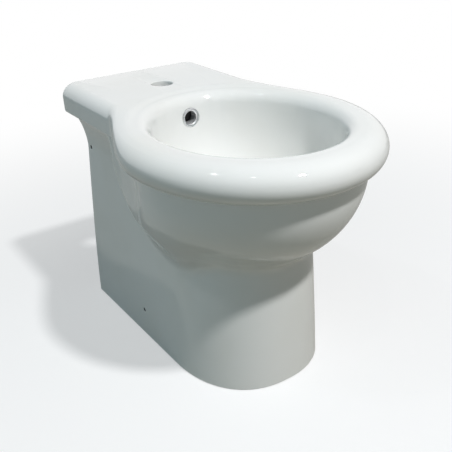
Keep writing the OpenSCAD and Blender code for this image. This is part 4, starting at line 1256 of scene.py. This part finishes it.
# The lock screws: hexagon socket, plain end, thread and point, and how long they are at floor and wall, mm
lockScrew = dict(socket=3, deep=3, head=4, chamfer=0.5, pitch=1.0, thread=0.4, point=1.2, floor=28, wall=18)


# Headless screws on both sides: a short plain end with the hexagon in it, and the thread behind
def makeLockScrews(name, title, length, y, z):
    s = lockScrew
    outer, low, high = spread(name)
    r, neck = (high.z - low.z) / 2, length - s["head"]
    plain, chamfer = r - 0.1, s["chamfer"]
    ends = [(0, neck), (plain, neck), (plain, length - chamfer), (plain - chamfer, length), (0, length)]
    thread = [point[:2] for point in threadOutline(r, 1.0, neck, s["pitch"], s["thread"])]
    places = [((side * (outer - length), y, z), (side, 0, 0)) for side in (-1, 1)]
    bm, sockets = bmesh.new(), []
    for start, along in places:
        turned(bm, ends, start, along, 48)
        sockets.append(sixFlats(s["socket"], length - s["deep"], length + 1, start, along))
    bm = afterCut(bm, sockets)
    for start, along in places:
        turned(bm, [(0, 0), (r - s["point"], 0)] + thread + [(0, neck)], start, along, 40)
    finishPiece(bm, title, bidet, [name], "steel", 30)


roundedCopy("floor_brackets", "floorBrackets", brackets["plastic"], "grey_plastic")
roundedCopy("wall_brackets", "wallBrackets", brackets["steel"], "steel", 2)
makeLockScrews("floor_lock_screws", "floorLockScrews", lockScrew["floor"], *form["lowHole"])
makeLockScrews("wall_lock_screws", "wallLockScrews", lockScrew["wall"], *form["highHole"])
print("fixings made")

# The nodes behind the finer pieces wear the same finishes
slotOf = {row["node"]: row["material_slot"] for row in record["subparts"]}
for name, node in nodes.items():
    node.data.materials.clear()
    node.data.materials.append(slots[slotOf[name]])
print("nodes dressed:", len(nodes))


# The floor, with one colour for the camera, one for the light it throws back and one for reflections.
# It glows by the veil's share, and fully beyond the fade, so that it runs into the white behind
def makeStage():
    floor = dict(size=6.0, down=0.0002, fade=(0.3, 1.5), veil=0.45, white=(0.96, 0.965, 0.97),
                 bounce=(0.225, 0.215, 0.17), mirrored=(0.42, 0.41, 0.375), mirrorGlow=0.2)
    f = Finish("floorPaint", floor["white"], 0.9)
    away = f.add("ShaderNodeVectorMath", dict(operation="LENGTH"), f.at, out="Value")
    seen, mirrored = f.rays("Camera", "Transmission"), f.rays("Glossy")
    colour = f.blend(mirrored, f.blend(seen, floor["bounce"], floor["white"]), floor["mirrored"])
    f.put(f.shader, dict(Base_Color=colour))
    glow = f.add("ShaderNodeEmission", None, (1.0, 1.0, 1.0), 1.0)
    share = floor["veil"] + away.rise(*floor["fade"]) * (1 - floor["veil"])
    mixed = f.add("ShaderNodeMixShader", None, share * (seen + mirrored * floor["mirrorGlow"]),
                  Wire(f, f.shader.outputs[0]), glow)
    f.tree.links.new(mixed.socket, f.tree.nodes["Material Output"].inputs["Surface"])
    bm = bmesh.new()
    bmesh.ops.create_circle(bm, cap_ends=True, segments=96, radius=floor["size"])
    bmesh.ops.translate(bm, vec=(0, 0, -floor["down"]), verts=bm.verts)
    mesh = meshOf(bm, "floor")
    mesh.materials.append(f.material)
    plane = bpy.data.objects.new("floor", mesh)
    bpy.context.collection.objects.link(plane)


# A soft sky with a large cool window on the left. The camera sees plain white, and mirrors see white that
# grows dimmer towards the room in front
def makeWorld():
    white = (1.0, 1.0, 1.0)
    sky = dict(colour=(0.92, 0.98, 1.0), strength=0.09, window=(0.48, 0.84, 1.0), windowStrength=0.34,
               behind=0.9, right=0.5, lowFrom=0.6)
    room = dict(front=0.4, back=(-0.3, 0.8), top=(0.1, 0.9))
    world = bpy.data.worlds.new("studio")
    bpy.context.scene.world = world
    w = Nodes(world, "Generated")
    x, y, z = w.parts()
    left = x.calc("MAXIMUM", x * -1, 0.0)
    # near the ground, even light from behind and from the right reaches the far sides
    nearGround = 1 - z.rise(0, sky["lowFrom"])
    farSides = (y.rise(0.2, 1) * sky["behind"] + x.rise(0.2, 1) * sky["right"]) * nearGround
    even = w.add("ShaderNodeBackground", None, sky["colour"], farSides + sky["strength"])
    window = w.add("ShaderNodeBackground", None, sky["window"], left * sky["windowStrength"])
    lit = w.add("ShaderNodeAddShader", None, even, window)
    share = y.calc("MAXIMUM", y.rise(*room["back"]), z.rise(*room["top"]))
    mirrored = w.add("ShaderNodeBackground", None, white, share * (1 - room["front"]) + room["front"])
    seen = w.add("ShaderNodeBackground", None, white, 1.0)
    lit = w.add("ShaderNodeMixShader", None, w.rays("Glossy", "Transmission"), lit, mirrored)
    lit = w.add("ShaderNodeMixShader", None, w.rays("Camera"), lit, seen)
    w.tree.links.new(lit.socket, w.tree.nodes["World Output"].inputs["Surface"])


# name, size in m, power in W, place, aim: the key, and two small lamps for the thin highlights on the rim
lamps = [
    ("key", (0.30, 0.26), 126.0, (0.37, -2.24, 3.54), (0.0, -0.05, 0.25)),
    ("leftLamp", (0.07, 0.34), 4.4, (-1.57, 0.10, 3.23), (-1.57, 0.10, 0.0)),
    ("frontLamp", (0.07, 0.26), 2.2, (-1.16, -1.14, 3.27), (-1.16, -1.14, 0.0)),
]


def makeLamps():
    for name, size, power, place, aim in lamps:
        data = bpy.data.lights.new(name, "AREA")
        data.shape, data.size, data.size_y, data.energy = "ELLIPSE", *size, power
        lamp = bpy.data.objects.new(name, data)
        way = Vector(aim) - Vector(place)
        lamp.matrix_world = Matrix.Translation(place) @ way.to_track_quat("-Z", "Y").to_matrix().to_4x4()
        bpy.context.collection.objects.link(lamp)


makeStage()
makeWorld()
makeLamps()
bpy.context.scene.view_settings.view_transform = "Standard"
print("stage and lamps set")
